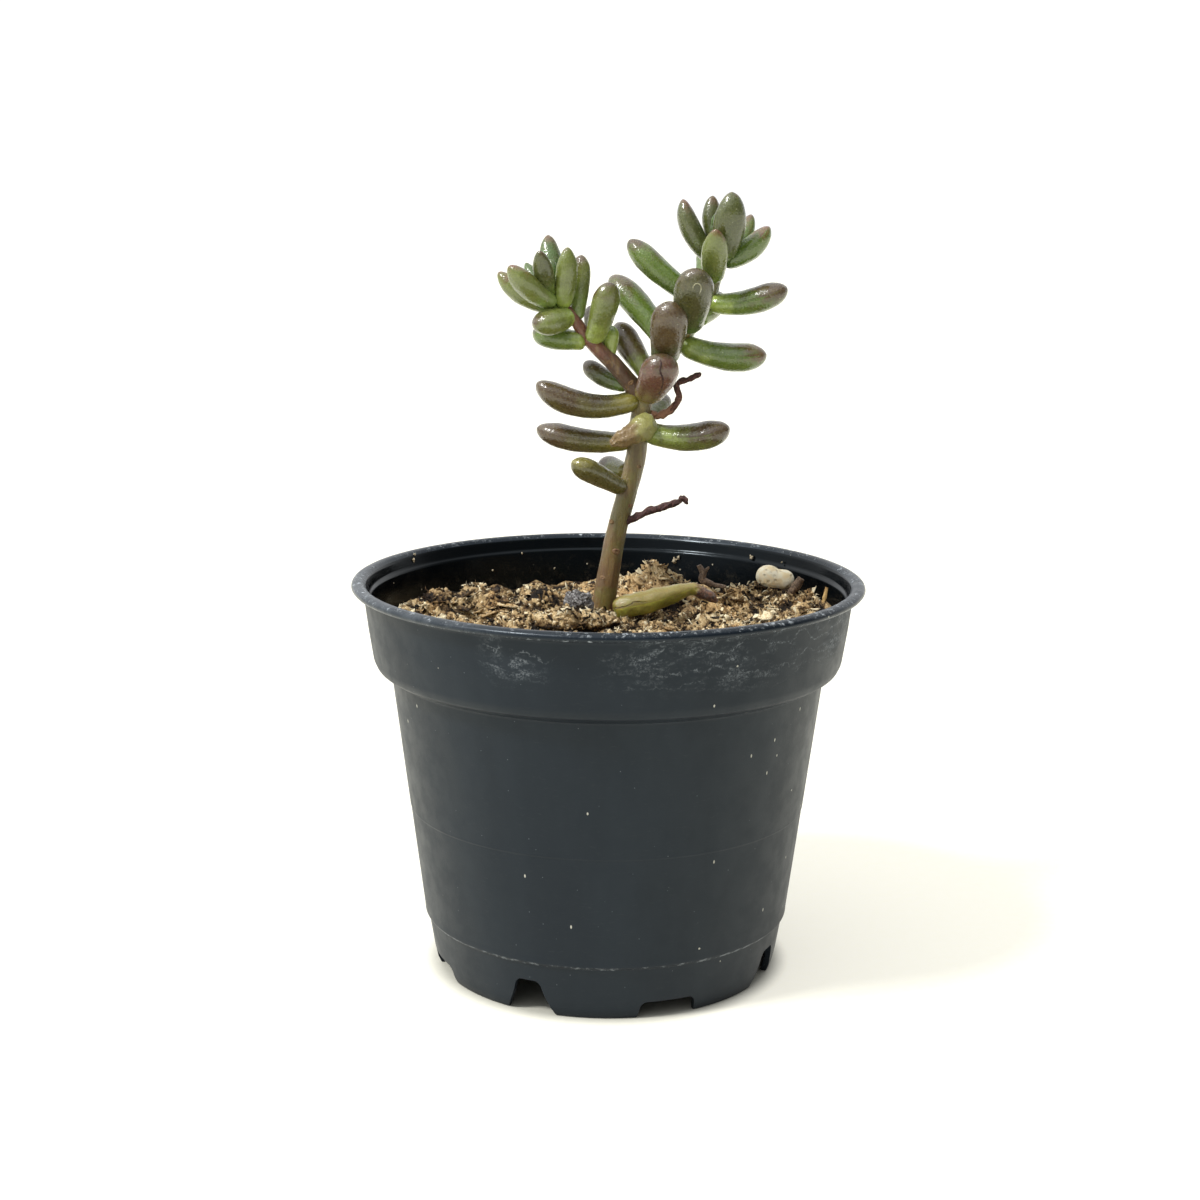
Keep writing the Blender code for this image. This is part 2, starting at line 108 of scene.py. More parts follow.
def start_finish(name):
    """A new finish, its tree, its shader, and the place on the piece in millimetres."""
    finish = bpy.data.materials.new(name)
    finish.use_nodes = True
    tree = finish.node_tree
    place = put(tree, "ShaderNodeTexCoord").outputs["Object"]
    in_mm = put(tree, "ShaderNodeMapping", {"Vector": place, "Scale": (1000, 1000, 1000)}).outputs[0]
    return finish, tree, tree.nodes["Principled BSDF"], in_mm


def stretched(tree, place, scale):
    """The place with each direction scaled, for a grain that runs one way."""
    return put(tree, "ShaderNodeMapping", {"Vector": place, "Scale": scale}).outputs[0]


def clouds(tree, place, per_mm, detail=3.0, rough=0.5, bend=0.0):
    """Soft clouds around one half, with so many to the millimetre."""
    inputs = {"Vector": place, "Scale": per_mm, "Detail": detail, "Roughness": rough, "Distortion": bend}
    return put(tree, "ShaderNodeTexNoise", inputs).outputs[0]


def cells(tree, place, per_mm):
    """The distance to the nearest of many scattered points, and that point's random colour."""
    node = put(tree, "ShaderNodeTexVoronoi", {"Vector": place, "Scale": per_mm})
    return node.outputs["Distance"], node.outputs["Color"]


def relief(tree, shader, *layers):
    """Bumps, each with its height in millimetres where its value is one, laid over each other."""
    normal = None
    for value, height in layers:
        inputs = {"Strength": 1.0, "Distance": height * MM, "Height": value}
        if normal:
            inputs["Normal"] = normal
        normal = put(tree, "ShaderNodeBump", inputs).outputs[0]
    for socket in ("Normal", "Coat Normal"):
        tree.links.new(normal, shader.inputs[socket])


def carried(tree, name):
    """A colour that the mesh carries, and the same read as a number."""
    node = put(tree, "ShaderNodeAttribute", attribute_name=name)
    return node.outputs["Color"], node.outputs["Fac"]


print("finishes are read in millimetres")

# %% [markdown]
# ## The pot's plastic
# Nursery pots are moulded from black plastic. Outside, it has gone matt charcoal from handling. Hard
# water has dried on the collar and lip and left a grey haze with thin wavy tide lines, and there are
# pin-sized white specks all over. On the lip's side towards the light the grey is partly a painted
# reflection. Inside, the plastic is glossy, with crumbs splashed on, and its colour is painted darker
# than outside, nearly black: painted shade for the gloom inside the pot.
# The haze is a large cloud, a tide line is where another cloud is close to one half, and a speck is the
# middle of a cell. Shares of place choose where each of them shows.

# %% Finish the outer plastic
PLASTIC = (0.0040, 0.0070, 0.0115, 1)
# the grey of the limescale deposits, also used for the painted reflection on the lip
LIMESCALE_AND_GLARE = tone(192, 200, 206)


def specks(tree, place, per_mm, size, rarity):
    """Small round specks in some of the cells."""
    distance, colour = cells(tree, place, per_mm)
    draw = put(tree, "ShaderNodeSeparateColor", {0: colour}).outputs[0]
    chosen = sum_of(tree, "GREATER_THAN", draw, rarity)
    return times(tree, ease(tree, distance, size * 0.5, size, 1.0, 0.0), chosen)


def near(tree, place, spot, full, none):
    """One within a distance of a spot, and nothing beyond a longer one."""
    distance = put(tree, "ShaderNodeVectorMath", {0: place, 1: spot}, operation="DISTANCE").outputs["Value"]
    return ease(tree, distance, full, none, 1.0, 0.0)


SEEN_SPECKS = [
    (27.8, -33.2, 53.6), (31.2, -29.2, 49.0), (32.6, -28.9, 55.6), (37.9, -22.6, 60.2), (-39.7, -18.0, 55.7),
    (-15.6, -37.2, 30.2), (21.0, -34.8, 32.6), (31.7, -22.4, 18.3), (-37.4, -23.6, 60.3), (-6.6, -38.5, 20.4),
]
WORN_SPOTS = [(8, -50.5, 81.4), (-50.8, -9, 81.2)]


def outer_plastic():
    finish, tree, shader, place = start_finish("black_plastic")
    x, y, z = put(tree, "ShaderNodeSeparateXYZ", {0: place}).outputs
    front_right = ease(tree, sum_of(tree, "MULTIPLY_ADD", x, 0.72, times(tree, y, -0.69)), 31.0, 42.0)
    side = sum_of(tree, "MAXIMUM", front_right, near(tree, place, (-17, -46, 76), 3.0, 9.0))
    on_collar = times(tree, ease(tree, z, 67.0, 76.0), ease(tree, z, 79.6, 79.9, 1.0, 0.0))
    patches = ease(tree, clouds(tree, stretched(tree, place, (1, 1, 1.8)), 0.075, 4.0, 0.6), 0.40, 0.60)
    haze = times(tree, times(tree, on_collar, side), patches)
    powder = ease(tree, clouds(tree, place, 2.2, 4.0, 0.8), 0.42, 0.60)
    finer = clouds(tree, stretched(tree, place, (1, 1, 2.2)), 0.34, 8.0, 0.62, 0.6)
    fine = times(tree, ease(tree, finer, 0.42, 0.70), powder)
    wobble = sum_of(tree, "MULTIPLY_ADD", clouds(tree, place, 0.07, 5.0, 0.62), 15.0, z)
    breaks = ease(tree, clouds(tree, place, 0.35, 5.0, 0.7), 0.40, 0.58)
    tides = None
    for level in (78.0, 81.0, 84.6):
        off = sum_of(tree, "ABSOLUTE", sum_of(tree, "SUBTRACT", wobble, level))
        line = ease(tree, off, 0.0, 0.34, 1.0, 0.0)
        tides = line if tides is None else sum_of(tree, "MAXIMUM", tides, line)
    tides = times(tree, times(tree, tides, breaks), times(tree, on_collar, side))
    deposit = ease(tree, clouds(tree, place, 0.85, 6.0, 0.8), 0.53, 0.62)
    worn = ease(tree, clouds(tree, place, 0.10, 3.0), 0.42, 0.56)
    for spot in WORN_SPOTS:
        worn = sum_of(tree, "MAXIMUM", worn, near(tree, place, spot, 7.0, 15.0))
    rim = times(tree, ease(tree, z, 80.9, 81.6), worn)
    under_lip = times(tree, ease(tree, z, 79.7, 80.0), ease(tree, z, 80.2, 80.6, 1.0, 0.0))
    rim = times(tree, sum_of(tree, "MAXIMUM", rim, times(tree, under_lip, breaks)), deposit)
    handled = ease(tree, clouds(tree, stretched(tree, place, (1, 1, 0.3)), 0.06, 4.0, 0.6), 0.35, 0.70)
    scuffs = ease(tree, clouds(tree, stretched(tree, place, (1, 1, 5)), 0.45, 5.0, 0.75), 0.56, 0.76, 0.0, 0.40)
    colour = blend(tree, handled, PLASTIC, (0.0068, 0.0108, 0.0162, 1))
    colour = blend(tree, scuffs, colour, (0.024, 0.027, 0.030, 1))
    colour = blend(tree, times(tree, haze, 0.012), colour, LIMESCALE_AND_GLARE)
    # painted reflection: the lip's side towards the light is lightened a little towards grey, in broken patches
    left_lip = ease(tree, sum_of(tree, "MULTIPLY_ADD", x, -0.90, times(tree, y, -0.42)), 34.0, 50.0)
    lip_glare = times(tree, left_lip, ease(tree, z, 79.8, 80.3))
    lip_glare = times(tree, lip_glare, ease(tree, breaks, 0.0, 1.0, 0.5, 1.0))
    colour = blend(tree, times(tree, lip_glare, 0.075), colour, LIMESCALE_AND_GLARE)
    fine, tides = times(tree, haze, fine), times(tree, tides, powder)
    for mask, strength in ((fine, 0.34), (tides, 0.26), (rim, 0.85)):
        colour = blend(tree, times(tree, mask, strength), colour, LIMESCALE_AND_GLARE)
    dots = specks(tree, stretched(tree, place, (1, 1, 0.6)), 0.30, 0.07, 0.88)
    dots = sum_of(tree, "MAXIMUM", dots, specks(tree, place, 0.16, 0.045, 0.72))
    lean = {"Vector": place, "Rotation": (0.0, 0.35, 0.0), "Scale": (1.0, 1.0, 0.45)}
    leaned = put(tree, "ShaderNodeMapping", lean).outputs[0]
    to_leaned = Matrix.Diagonal((1.0, 1.0, 0.45)).to_3x3()
    for spot in SEEN_SPECKS:
        there = Matrix.Rotation(0.35, 3, "Y") @ (to_leaned @ Vector(spot))
        dots = sum_of(tree, "MAXIMUM", dots, near(tree, leaned, there, 0.10, 0.23))
    colour = blend(tree, times(tree, dots, 0.75), colour, tone(206, 204, 190))
    seam = times(tree, ease(tree, z, 10.9, 11.2), ease(tree, z, 11.5, 11.9, 1.0, 0.0))
    scraped = times(tree, seam, ease(tree, clouds(tree, place, 0.5, 6.0, 0.75), 0.48, 0.60))
    colour = blend(tree, times(tree, scraped, 0.30), colour, LIMESCALE_AND_GLARE)
    grains = specks(tree, place, 0.75, 0.10, 0.90)
    colour = blend(tree, times(tree, grains, 0.14), colour, LIMESCALE_AND_GLARE)
    tree.links.new(colour, shader.inputs["Base Color"])
    rough = ease(tree, clouds(tree, place, 0.22, 4.0, 0.6), 0.3, 0.7, 0.40, 0.50)
    at_lip = ease(tree, z, 79.8, 80.4, 0.0, -0.16)
    rough = sum_of(tree, "ADD", sum_of(tree, "MULTIPLY_ADD", haze, 0.12, rough), at_lip)
    tree.links.new(rough, shader.inputs["Roughness"])
    shader.inputs["Specular IOR Level"].default_value = 0.32
    shader.inputs["Specular Tint"].default_value = (0.82, 0.92, 1.0, 1)
    swells, grain = clouds(tree, place, 0.06, 2.0), clouds(tree, place, 3.2, 2.0)
    relief(tree, shader, (swells, 0.20), (grain, 0.010), (rim, 0.10), (dots, 0.05))
    return finish


outer = outer_plastic()
print("outer plastic has", len(outer.node_tree.nodes), "nodes")

# %% Finish the inner plastic


def inner_plastic():
    finish, tree, shader, place = start_finish("black_plastic_inside")
    _, _, z = put(tree, "ShaderNodeSeparateXYZ", {0: place}).outputs
    crumbs = ease(tree, clouds(tree, place, 0.5, 7.0, 0.8), 0.50, 0.72)
    dust = times(tree, crumbs, ease(tree, z, 78.0, 71.5, 0.05, 0.55))
    # painted shade: near-black, darker than the outer plastic; the brown crumb dust lower down is dirt
    colour = blend(tree, dust, (0.0012, 0.0020, 0.0028, 1), (0.060, 0.050, 0.034, 1))
    dots = specks(tree, place, 0.42, 0.10, 0.80)
    dots = sum_of(tree, "MAXIMUM", dots, specks(tree, place, 0.16, 0.06, 0.62))
    colour = blend(tree, times(tree, dots, 0.7), colour, tone(190, 182, 160))
    tree.links.new(colour, shader.inputs["Base Color"])
    tree.links.new(ease(tree, clouds(tree, place, 0.3, 4.0, 0.6), 0.3, 0.7, 0.14, 0.22), shader.inputs["Roughness"])
    shader.inputs["Specular IOR Level"].default_value = 0.18
    shader.inputs["Specular Tint"].default_value = (0.80, 0.92, 1.0, 1)
    swells, grain = clouds(tree, place, 0.05, 2.0), clouds(tree, place, 2.0, 2.0)
    relief(tree, shader, (swells, 0.15), (grain, 0.01), (dots, 0.06))
    return finish


inner = inner_plastic()
print("inner plastic has", len(inner.node_tree.nodes), "nodes")

# %% [markdown]
# ## The pot's shell
# The pot is round, so one section turned about its middle gives the whole shell. A lathe tree does
# that: it bends a plain grid into rows that each follow one point of the section. The section's corners
# are rounded first, because moulded plastic has no knife edges. The feet are then cut into the ring
# below the floor, and the drain holes through the floor, as the mould's cores would leave them.

# %% Draw the pot's section
UNDERSIDE = [(0, 9), (35.9, 9), (35, 4), (33.7, 0)]
FOOT = [(34.9, 0), (35.6, 1.6), (36.2, 4.2), (37.35, 11.2), (38.0, 11.6), (38.1, 13.0)]
BODY = [(40.85, 34.6), (40.98, 34.9), (41.0, 35.2), (44.5, 62.8)]
COLLAR = [(45.9, 63.4), (47.4, 64.3), (48.1, 65.8), (49.1, 72.2), (50.0, 79.3), (50.6, 79.9)]
LIP = [(52.0, 80.0), (52.5, 80.6), (52.3, 81.25), (51.6, 81.65), (50.7, 81.7), (50.1, 81.5), (49.4, 80.8)]
INSIDE = [(49.0, 78.7), (48.4, 78.2), (47.1, 66.2), (46.4, 65.0), (44.3, 64.1), (43.5, 62.6), (37.1, 11.7)]
FLOOR = [(36.2, 10.1), (0, 10.1)]


def rounded(points, radius=0.5, steps=4):
    """The same line with each corner replaced by a short bend."""
    line = [Vector(points[0])]
    for before, corner, after in zip(points, points[1:], points[2:]):
        before, corner, after = Vector(before), Vector(corner), Vector(after)
        reach = min(radius, 0.42 * (before - corner).length, 0.42 * (after - corner).length)
        start = corner + (before - corner).normalized() * reach
        end = corner + (after - corner).normalized() * reach
        for k in range(steps + 1):
            t = k / steps
            line.append(start * (1 - t) ** 2 + corner * 2 * t * (1 - t) + end * t * t)
    line.append(Vector(points[-1]))
    return line


section = rounded(UNDERSIDE + FOOT + BODY + COLLAR + LIP + INSIDE + FLOOR)
print("the section has", len(section), "points, the widest at", round(max(p.x for p in section), 2), "mm")

# %% Helpers that run a growing rule


def new_rule(name, sockets):
    """A geometry tree with a mesh in, a mesh out and these named inputs."""
    tree = bpy.data.node_groups.new(name, "GeometryNodeTree")
    tree.interface.new_socket("Geometry", in_out="OUTPUT", socket_type="NodeSocketGeometry")
    tree.interface.new_socket("Geometry", in_out="INPUT", socket_type="NodeSocketGeometry")
    for label, kind in sockets.items():
        tree.interface.new_socket(label, in_out="INPUT", socket_type="NodeSocket" + kind)
    return tree, tree.nodes.new("NodeGroupInput").outputs


def end_rule(tree, mesh, material):
    """Ends a rule: real mesh in place of instances, smooth, and with its finish."""
    real = put(tree, "GeometryNodeRealizeInstances", {0: mesh}).outputs[0]
    smooth = put(tree, "GeometryNodeSetShadeSmooth", {0: real}).outputs[0]
    finished = put(tree, "GeometryNodeSetMaterial", {0: smooth, "Material": material}).outputs[0]
    put(tree, "NodeGroupOutput", {0: finished})


def made_by(tree, name, source, **values):
    """Runs a rule on a mesh and keeps the result as a plain mesh."""
    obj = bpy.data.objects.new(name, source)
    bpy.context.scene.collection.objects.link(obj)
    modifier = obj.modifiers.new("rule", "NODES")
    modifier.node_group = tree
    for item in tree.interface.items_tree:
        label = item.name.replace(" ", "_").lower()
        if item.in_out == "INPUT" and label in values:
            modifier[item.identifier] = values[label]
    graph = bpy.context.evaluated_depsgraph_get()
    shape = obj.evaluated_get(graph)
    plain = bpy.data.meshes.new_from_object(shape, preserve_all_data_layers=True, depsgraph=graph)
    obj.modifiers.clear()
    obj.data = plain
    return obj


def triangles(obj):
    """How many triangles the object's faces make."""
    return sum(len(face.vertices) - 2 for face in obj.data.polygons)


def hand_over(piece, slot, *nodes):
    """The finished piece rides on the object, and stands for these solids."""
    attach(piece, "root")
    if nodes:
        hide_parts(*nodes)
    print(piece.name, "has", triangles(piece), "triangles")


# %% Build the lathe
lathe, into = new_rule("lathe", {"Segments": "Int", "Rows": "Int", "Material": "Material"})
columns = sum_of(lathe, "ADD", into["Segments"], 1)
grid_inputs = {"Size X": 1.0, "Size Y": 1.0, "Vertices X": columns, "Vertices Y": into["Rows"]}
grid = put(lathe, "GeometryNodeMeshGrid", grid_inputs).outputs[0]
across, along, _ = put(lathe, "ShaderNodeSeparateXYZ", {0: put(lathe, "GeometryNodeInputPosition").outputs[0]}).outputs
last_row = sum_of(lathe, "SUBTRACT", into["Rows"], 1)
row = sum_of(lathe, "ROUND", times(lathe, sum_of(lathe, "ADD", along, 0.5), last_row))
drawn = put(lathe, "GeometryNodeInputPosition").outputs[0]
sample_inputs = {0: into["Geometry"], 1: drawn, 2: row}
sample = put(lathe, "GeometryNodeSampleIndex", sample_inputs, data_type="FLOAT_VECTOR").outputs[0]
from_middle, _, height = put(lathe, "ShaderNodeSeparateXYZ", {0: sample}).outputs
turn = times(lathe, sum_of(lathe, "ADD", across, 0.5), math.tau)
to_x = times(lathe, from_middle, sum_of(lathe, "COSINE", turn))
to_y = times(lathe, from_middle, sum_of(lathe, "SINE", turn))
bent_place = put(lathe, "ShaderNodeCombineXYZ", {0: to_x, 1: to_y, 2: height}).outputs[0]
bent = put(lathe, "GeometryNodeSetPosition", {0: grid, "Position": bent_place}).outputs[0]
closed = put(lathe, "GeometryNodeMergeByDistance", {0: bent, "Distance": 0.002 * MM}).outputs[0]
end_rule(lathe, closed, into["Material"])

drawing = bpy.data.meshes.new("pot_section")
steps = [(k, k + 1) for k in range(len(section) - 1)]
drawing.from_pydata([(p.x * MM, 0, p.y * MM) for p in section], steps, [])
pot = made_by(lathe, "pot_shell", drawing, segments=224, rows=len(section), material=outer)
print("the turned shell has", triangles(pot), "triangles")

# %% Cut the feet and the drain holes
DEEP_BEARINGS = [245.5 + 90 * k for k in range(4)]
LOW_BEARINGS = [290.5 + 90 * k for k in range(4)]


def core(outline, depth, place):
    """A closed cutting core: the outline pushed along its own axis."""
    bm = bmesh.new()
    face = bm.faces.new([bm.verts.new((0, a * MM, b * MM)) for a, b in outline])
    run = bmesh.ops.extrude_face_region(bm, geom=[face])
    moved = [part for part in run["geom"] if isinstance(part, bmesh.types.BMVert)]
    bmesh.ops.translate(bm, verts=moved, vec=(depth * MM, 0, 0))
    bmesh.ops.transform(bm, matrix=place, verts=bm.verts)
    bmesh.ops.recalc_face_normals(bm, faces=bm.faces)
    mesh = bpy.data.meshes.new("core")
    bm.to_mesh(mesh)
    obj = bpy.data.objects.new("core", mesh)
    bpy.context.scene.collection.objects.link(obj)
    return obj


def notch_outline(top, half_top, half_knee, half_foot):
    """Half of a gap between two feet, with a rounded head, and its mirror image."""
    half = [
        (0, top), (half_top - 0.8, top), (half_top, top - 0.8), (half_knee, 0.6 * top), (half_foot, 0),
        (half_foot, -1),
    ]
    bend = [(p.x, p.y) for p in rounded(half, 1.2, 4)]
    return bend + [(-a, b) for a, b in reversed(bend[1:])]


cores = []
for bearing in DEEP_BEARINGS:
    turned = Matrix.Rotation(math.radians(bearing), 4, "Z") @ Matrix.Translation((28.9 * MM, 0, 0))
    cores.append(core(notch_outline(7.4, 2.7, 3.3, 5.3), 10, turned))
for bearing in LOW_BEARINGS:
    turned = Matrix.Rotation(math.radians(bearing), 4, "Z") @ Matrix.Translation((28.9 * MM, 0, 0))
    cores.append(core(notch_outline(3.6, 5.7, 5.8, 6.1), 10, turned))
ring = [(math.cos(math.tau * k / 32), math.sin(math.tau * k / 32)) for k in range(32)]
for reach, bearing, size in [(0, 0, 4.0)] + [(25, bearing, 3.2) for bearing in DEEP_BEARINGS]:
    upright = Matrix.Rotation(math.radians(bearing), 4, "Z") @ Matrix.Translation((reach * MM, 0, 7 * MM))
    cores.append(core([(a * size, b * size) for a, b in ring], 5, upright @ Matrix.Rotation(-math.pi / 2, 4, "Y")))
group = bpy.data.collections.new("cores")
for tool in cores:
    group.objects.link(tool)
cut = pot.modifiers.new("cut", "BOOLEAN")
cut.operand_type = "COLLECTION"
cut.collection = group
cut.solver = "EXACT"
graph = bpy.context.evaluated_depsgraph_get()
pot.data = bpy.data.meshes.new_from_object(pot.evaluated_get(graph), depsgraph=graph)
pot.modifiers.clear()
for tool in cores:
    bpy.data.objects.remove(tool)
bpy.data.collections.remove(group)
pot.data.materials.clear()
pot.data.materials.append(outer)
pot.data.materials.append(inner)
# faces that look into the pot take the darker inner finish, the painted shade inside
for face in pot.data.polygons:
    middle = face.center / MM
    flat = Vector((middle.x, middle.y, 0))
    inward = flat.length > 1 and face.normal.dot(flat.normalized()) < -0.2
    inside = middle.z > 10 and middle.z < 81.0 and flat.length < 49.9 and (inward or middle.z < 80)
    face.material_index = 1 if inside and (inward or face.normal.z > 0.2) else 0
pot.data.shade_smooth()
pot.data.set_sharp_from_angle(angle=math.radians(42))
hand_over(pot, "black_plastic", "pot")

# %% [markdown]
# ## The leaves' skin
# A jelly bean leaf is thick and juicy. Its foot is yellow-green where the light never turned it, its
# middle is green, and the sun has stained its tip and upper side rust, plum or wine red. The skin is
# glossy and very finely pebbled, so highlights on it sparkle; the finish also paints pale flecks and the
# pebbles' middles lighter, as painted sparkle. Each leaf carries three tints and says
# how far up the stain reaches, and one finish reads them. That keeps every leaf its own colour without
# forty finishes.

# %% Name the plant's tints
TINTS = {
    "lime": tone(150, 168, 78),
    "fern": tone(84, 106, 34),
    "grass": tone(66, 94, 34),
    "moss": tone(66, 72, 28),
    "sage": tone(100, 110, 48),
    "mint": tone(120, 142, 72),
    "olive": tone(82, 76, 30),
    "hay": tone(118, 110, 42),
    "plum": tone(70, 50, 30),
    "mauve": tone(76, 56, 32),
    "rust": tone(98, 52, 36),
    "wine": tone(76, 34, 32),
    "bronze": tone(92, 66, 44),
    "bark": tone(106, 80, 46),
    "moor": tone(114, 100, 52),
    "rose": tone(118, 70, 50),
    "tan": tone(140, 106, 60),
    "umber": tone(72, 48, 32),
    "loden": tone(58, 58, 20),
    "claret": tone(96, 58, 50),
    "husk": tone(118, 94, 60),
    "pith": tone(140, 138, 78),
}
print(len(TINTS), "tints")

# %% Finish the leaves


def leaf_skin(name, gloss=0.24, grain_height=0.032, coat=0.60):
    finish, tree, shader, place = start_finish(name)
    share, around, reach = (carried(tree, label)[1] for label in ("share", "around", "reach"))
    foot, heart, tip = (carried(tree, label)[0] for label in ("foot_tint", "heart_tint", "tip_tint"))
    wander = sum_of(tree, "SUBTRACT", clouds(tree, place, 0.35, 4.0, 0.6), 0.5)
    upper = sum_of(tree, "SINE", times(tree, around, -math.tau))
    way = sum_of(tree, "MULTIPLY_ADD", wander, 0.8, share)
    colour = blend(tree, ease(tree, way, 0.12, 0.52), foot, heart)
    lifted = sum_of(tree, "MULTIPLY_ADD", upper, 0.12, way)
    past = sum_of(tree, "SUBTRACT", lifted, reach)
    colour = blend(tree, ease(tree, past, -0.16, 0.20), colour, tip)
    mottle = ease(tree, clouds(tree, place, 1.4, 5.0, 0.7), 0.32, 0.72)
    colour = blend(tree, times(tree, mottle, 0.16), colour, blend(tree, 0.5, colour, (0.40, 0.43, 0.15, 1)))
    dark = ease(tree, clouds(tree, stretched(tree, place, (1.0, 1.0, 1.3)), 0.6, 6.0, 0.75), 0.54, 0.76, 0.0, 0.6)
    colour = blend(tree, dark, colour, blend(tree, 0.6, colour, (0.03, 0.022, 0.012, 1)))
    distance, _ = cells(tree, place, 2.4)
    # the skin's pebbles: they make its fine bump, and their middles are also painted a little lighter below, as
    # painted sparkle
    pebbles_and_glints = ease(tree, distance, 0.0, 0.75, 1.0, 0.0)
    # pale flecks painted on as sparkle: painted highlights
    glint_flecks = times(tree, specks(tree, place, 1.6, 0.22, 0.86), 0.35)
    colour = blend(tree, times(tree, pebbles_and_glints, 0.03), colour, (0.70, 0.72, 0.52, 1))
    colour = blend(tree, glint_flecks, colour, tone(214, 214, 186))
    tree.links.new(colour, shader.inputs["Base Color"])
    rough = ease(tree, clouds(tree, place, 0.9, 4.0, 0.6), 0.3, 0.7, gloss, gloss + 0.12)
    tree.links.new(rough, shader.inputs["Roughness"])
    shader.inputs["Specular IOR Level"].default_value = 0.55
    shader.inputs["Subsurface Weight"].default_value = 0.25
    shader.inputs["Subsurface Radius"].default_value = (1.0, 0.9, 0.35)
    shader.inputs["Subsurface Scale"].default_value = 0.0012
    shader.inputs["Coat Weight"].default_value = coat
    shader.inputs["Coat Roughness"].default_value = 0.13
    relief(tree, shader, (clouds(tree, place, 0.8, 3.0, 0.5), 0.10), (pebbles_and_glints, grain_height))
    return finish


skin = leaf_skin("leaf_skin")
print("leaf skin has", len(skin.node_tree.nodes), "nodes")

# %% [markdown]
# ## A rule that grows limbs
# Leaves, stems, roots and twigs are all limbs: a line through space, with a half width at each point. A
# tree of nodes sweeps a ring along such lines. It carries the line's tints onto the surface, closes both
# ends, and then pushes the surface in and out a little, in soft lumps or in furrows that run along it.
# Lofting by hand would give the same tube, but the rule does every limb at once.

# %% Build the limb rule
limb_rule, into = new_rule(
    "grow_limbs",
    {
        "Sides": "Int",
        "Flatness": "Float",
        "Lump Height": "Float",
        "Lumps Per Metre": "Float",
        "Furrows": "Float",
        "Furrow Depth": "Float",
        "Material": "Material",
    },
)


def named(tree, label):
    """A number that the mesh carries."""
    return put(tree, "GeometryNodeInputNamedAttribute", {0: label}, data_type="FLOAT").outputs[0]


lines = put(limb_rule, "GeometryNodeMeshToCurve", {0: into["Geometry"]}).outputs[0]
circle = put(limb_rule, "GeometryNodeCurvePrimitiveCircle", {"Resolution": into["Sides"], "Radius": 1.0}).outputs[0]
round_share = put(limb_rule, "GeometryNodeSplineParameter").outputs["Factor"]
marked = put(limb_rule, "GeometryNodeStoreNamedAttribute", {0: circle, "Name": "around", "Value": round_share}).outputs[0]
squash = put(limb_rule, "ShaderNodeCombineXYZ", {0: 1.0, 1: into["Flatness"], 2: 1.0}).outputs[0]
flattened = put(limb_rule, "GeometryNodeTransform", {0: marked, "Scale": squash}).outputs[0]
swept_inputs = {0: lines, 1: flattened, "Scale": named(limb_rule, "half_width"), "Fill Caps": True}
swept = put(limb_rule, "GeometryNodeCurveToMesh", swept_inputs).outputs[0]
place = put(limb_rule, "GeometryNodeInputPosition").outputs[0]
out = put(limb_rule, "GeometryNodeInputNormal").outputs[0]
cloud = put(limb_rule, "ShaderNodeTexNoise", {"Vector": place, "Scale": into["Lumps Per Metre"], "Detail": 3.0}).outputs[0]
lump = times(limb_rule, sum_of(limb_rule, "MULTIPLY_ADD", cloud, 2.0, -1.0), into["Lump Height"])
turns = times(limb_rule, times(limb_rule, named(limb_rule, "around"), math.tau), into["Furrows"])
wave = sum_of(limb_rule, "SINE", sum_of(limb_rule, "MULTIPLY_ADD", cloud, 9.0, turns))
furrow = times(limb_rule, wave, into["Furrow Depth"])
push = put(limb_rule, "ShaderNodeVectorMath", {0: out, "Scale": sum_of(limb_rule, "ADD", lump, furrow)}, operation="SCALE")
pushed = put(limb_rule, "GeometryNodeSetPosition", {0: swept, "Offset": push.outputs[0]}).outputs[0]
end_rule(limb_rule, pushed, into["Material"])
print("the limb rule has", len(limb_rule.nodes), "nodes")

# %% Helpers that draw the lines


def flowing(points, steps=10):
    """A smooth run of places and half widths, in metres, through points given in millimetres."""
    spots = [Vector((*place, half)) * MM for place, half in points]
    spots = [2 * spots[0] - spots[1], *spots, 2 * spots[-1] - spots[-2]]
    run = []
    for before, start, end, after in zip(spots, spots[1:], spots[2:], spots[3:]):
        for k in range(steps):
            t = k / steps
            bend = (2 * before - 5 * start + 4 * end - after) * t**2 + (3 * start - before - 3 * end + after) * t**3
            run.append(0.5 * (2 * start + (end - before) * t + bend))
    run.append(spots[-2])
    return [(spot.xyz, max(spot.w, 0.05 * MM)) for spot in run]


def closed_tip(run, steps=5):
    """Adds a round end, so that a limb doesn't stop in a flat cut."""
    (before, _), (end, half) = run[-2:]
    aim = (end - before).normalized()
    angles = [math.pi / 2 * k / steps for k in range(1, steps)]
    dome = [(end + aim * half * math.sin(a), half * math.cos(a)) for a in angles]
    return run + dome + [(end + aim * half, half * 0.04)]


def line_mesh(name, limbs):
    """One mesh of lines. A limb is its run, its three tints and how far up the last of them reaches."""
    mesh = bpy.data.meshes.new(name)
    places, edges, values = [], [], {"half_width": [], "share": [], "reach": []}
    tints = {"foot_tint": [], "heart_tint": [], "tip_tint": []}
    for run, colours, reach in limbs:
        first = len(places)
        places += [place for place, _ in run]
        edges += [(first + k, first + k + 1) for k in range(len(run) - 1)]
        values["half_width"] += [half for _, half in run]
        values["share"] += [k / (len(run) - 1) for k in range(len(run))]
        values["reach"] += [reach] * len(run)
        for label, tint in zip(tints, colours.split()):
            tints[label] += list(TINTS[tint]) * len(run)
    mesh.from_pydata(places, edges, [])
    for label, numbers in values.items():
        mesh.attributes.new(label, "FLOAT", "POINT").data.foreach_set("value", numbers)
    for label, numbers in tints.items():
        mesh.attributes.new(label, "FLOAT_COLOR", "POINT").data.foreach_set("color", numbers)
    return mesh


print("a limb's line carries its half width, its share and its tints")

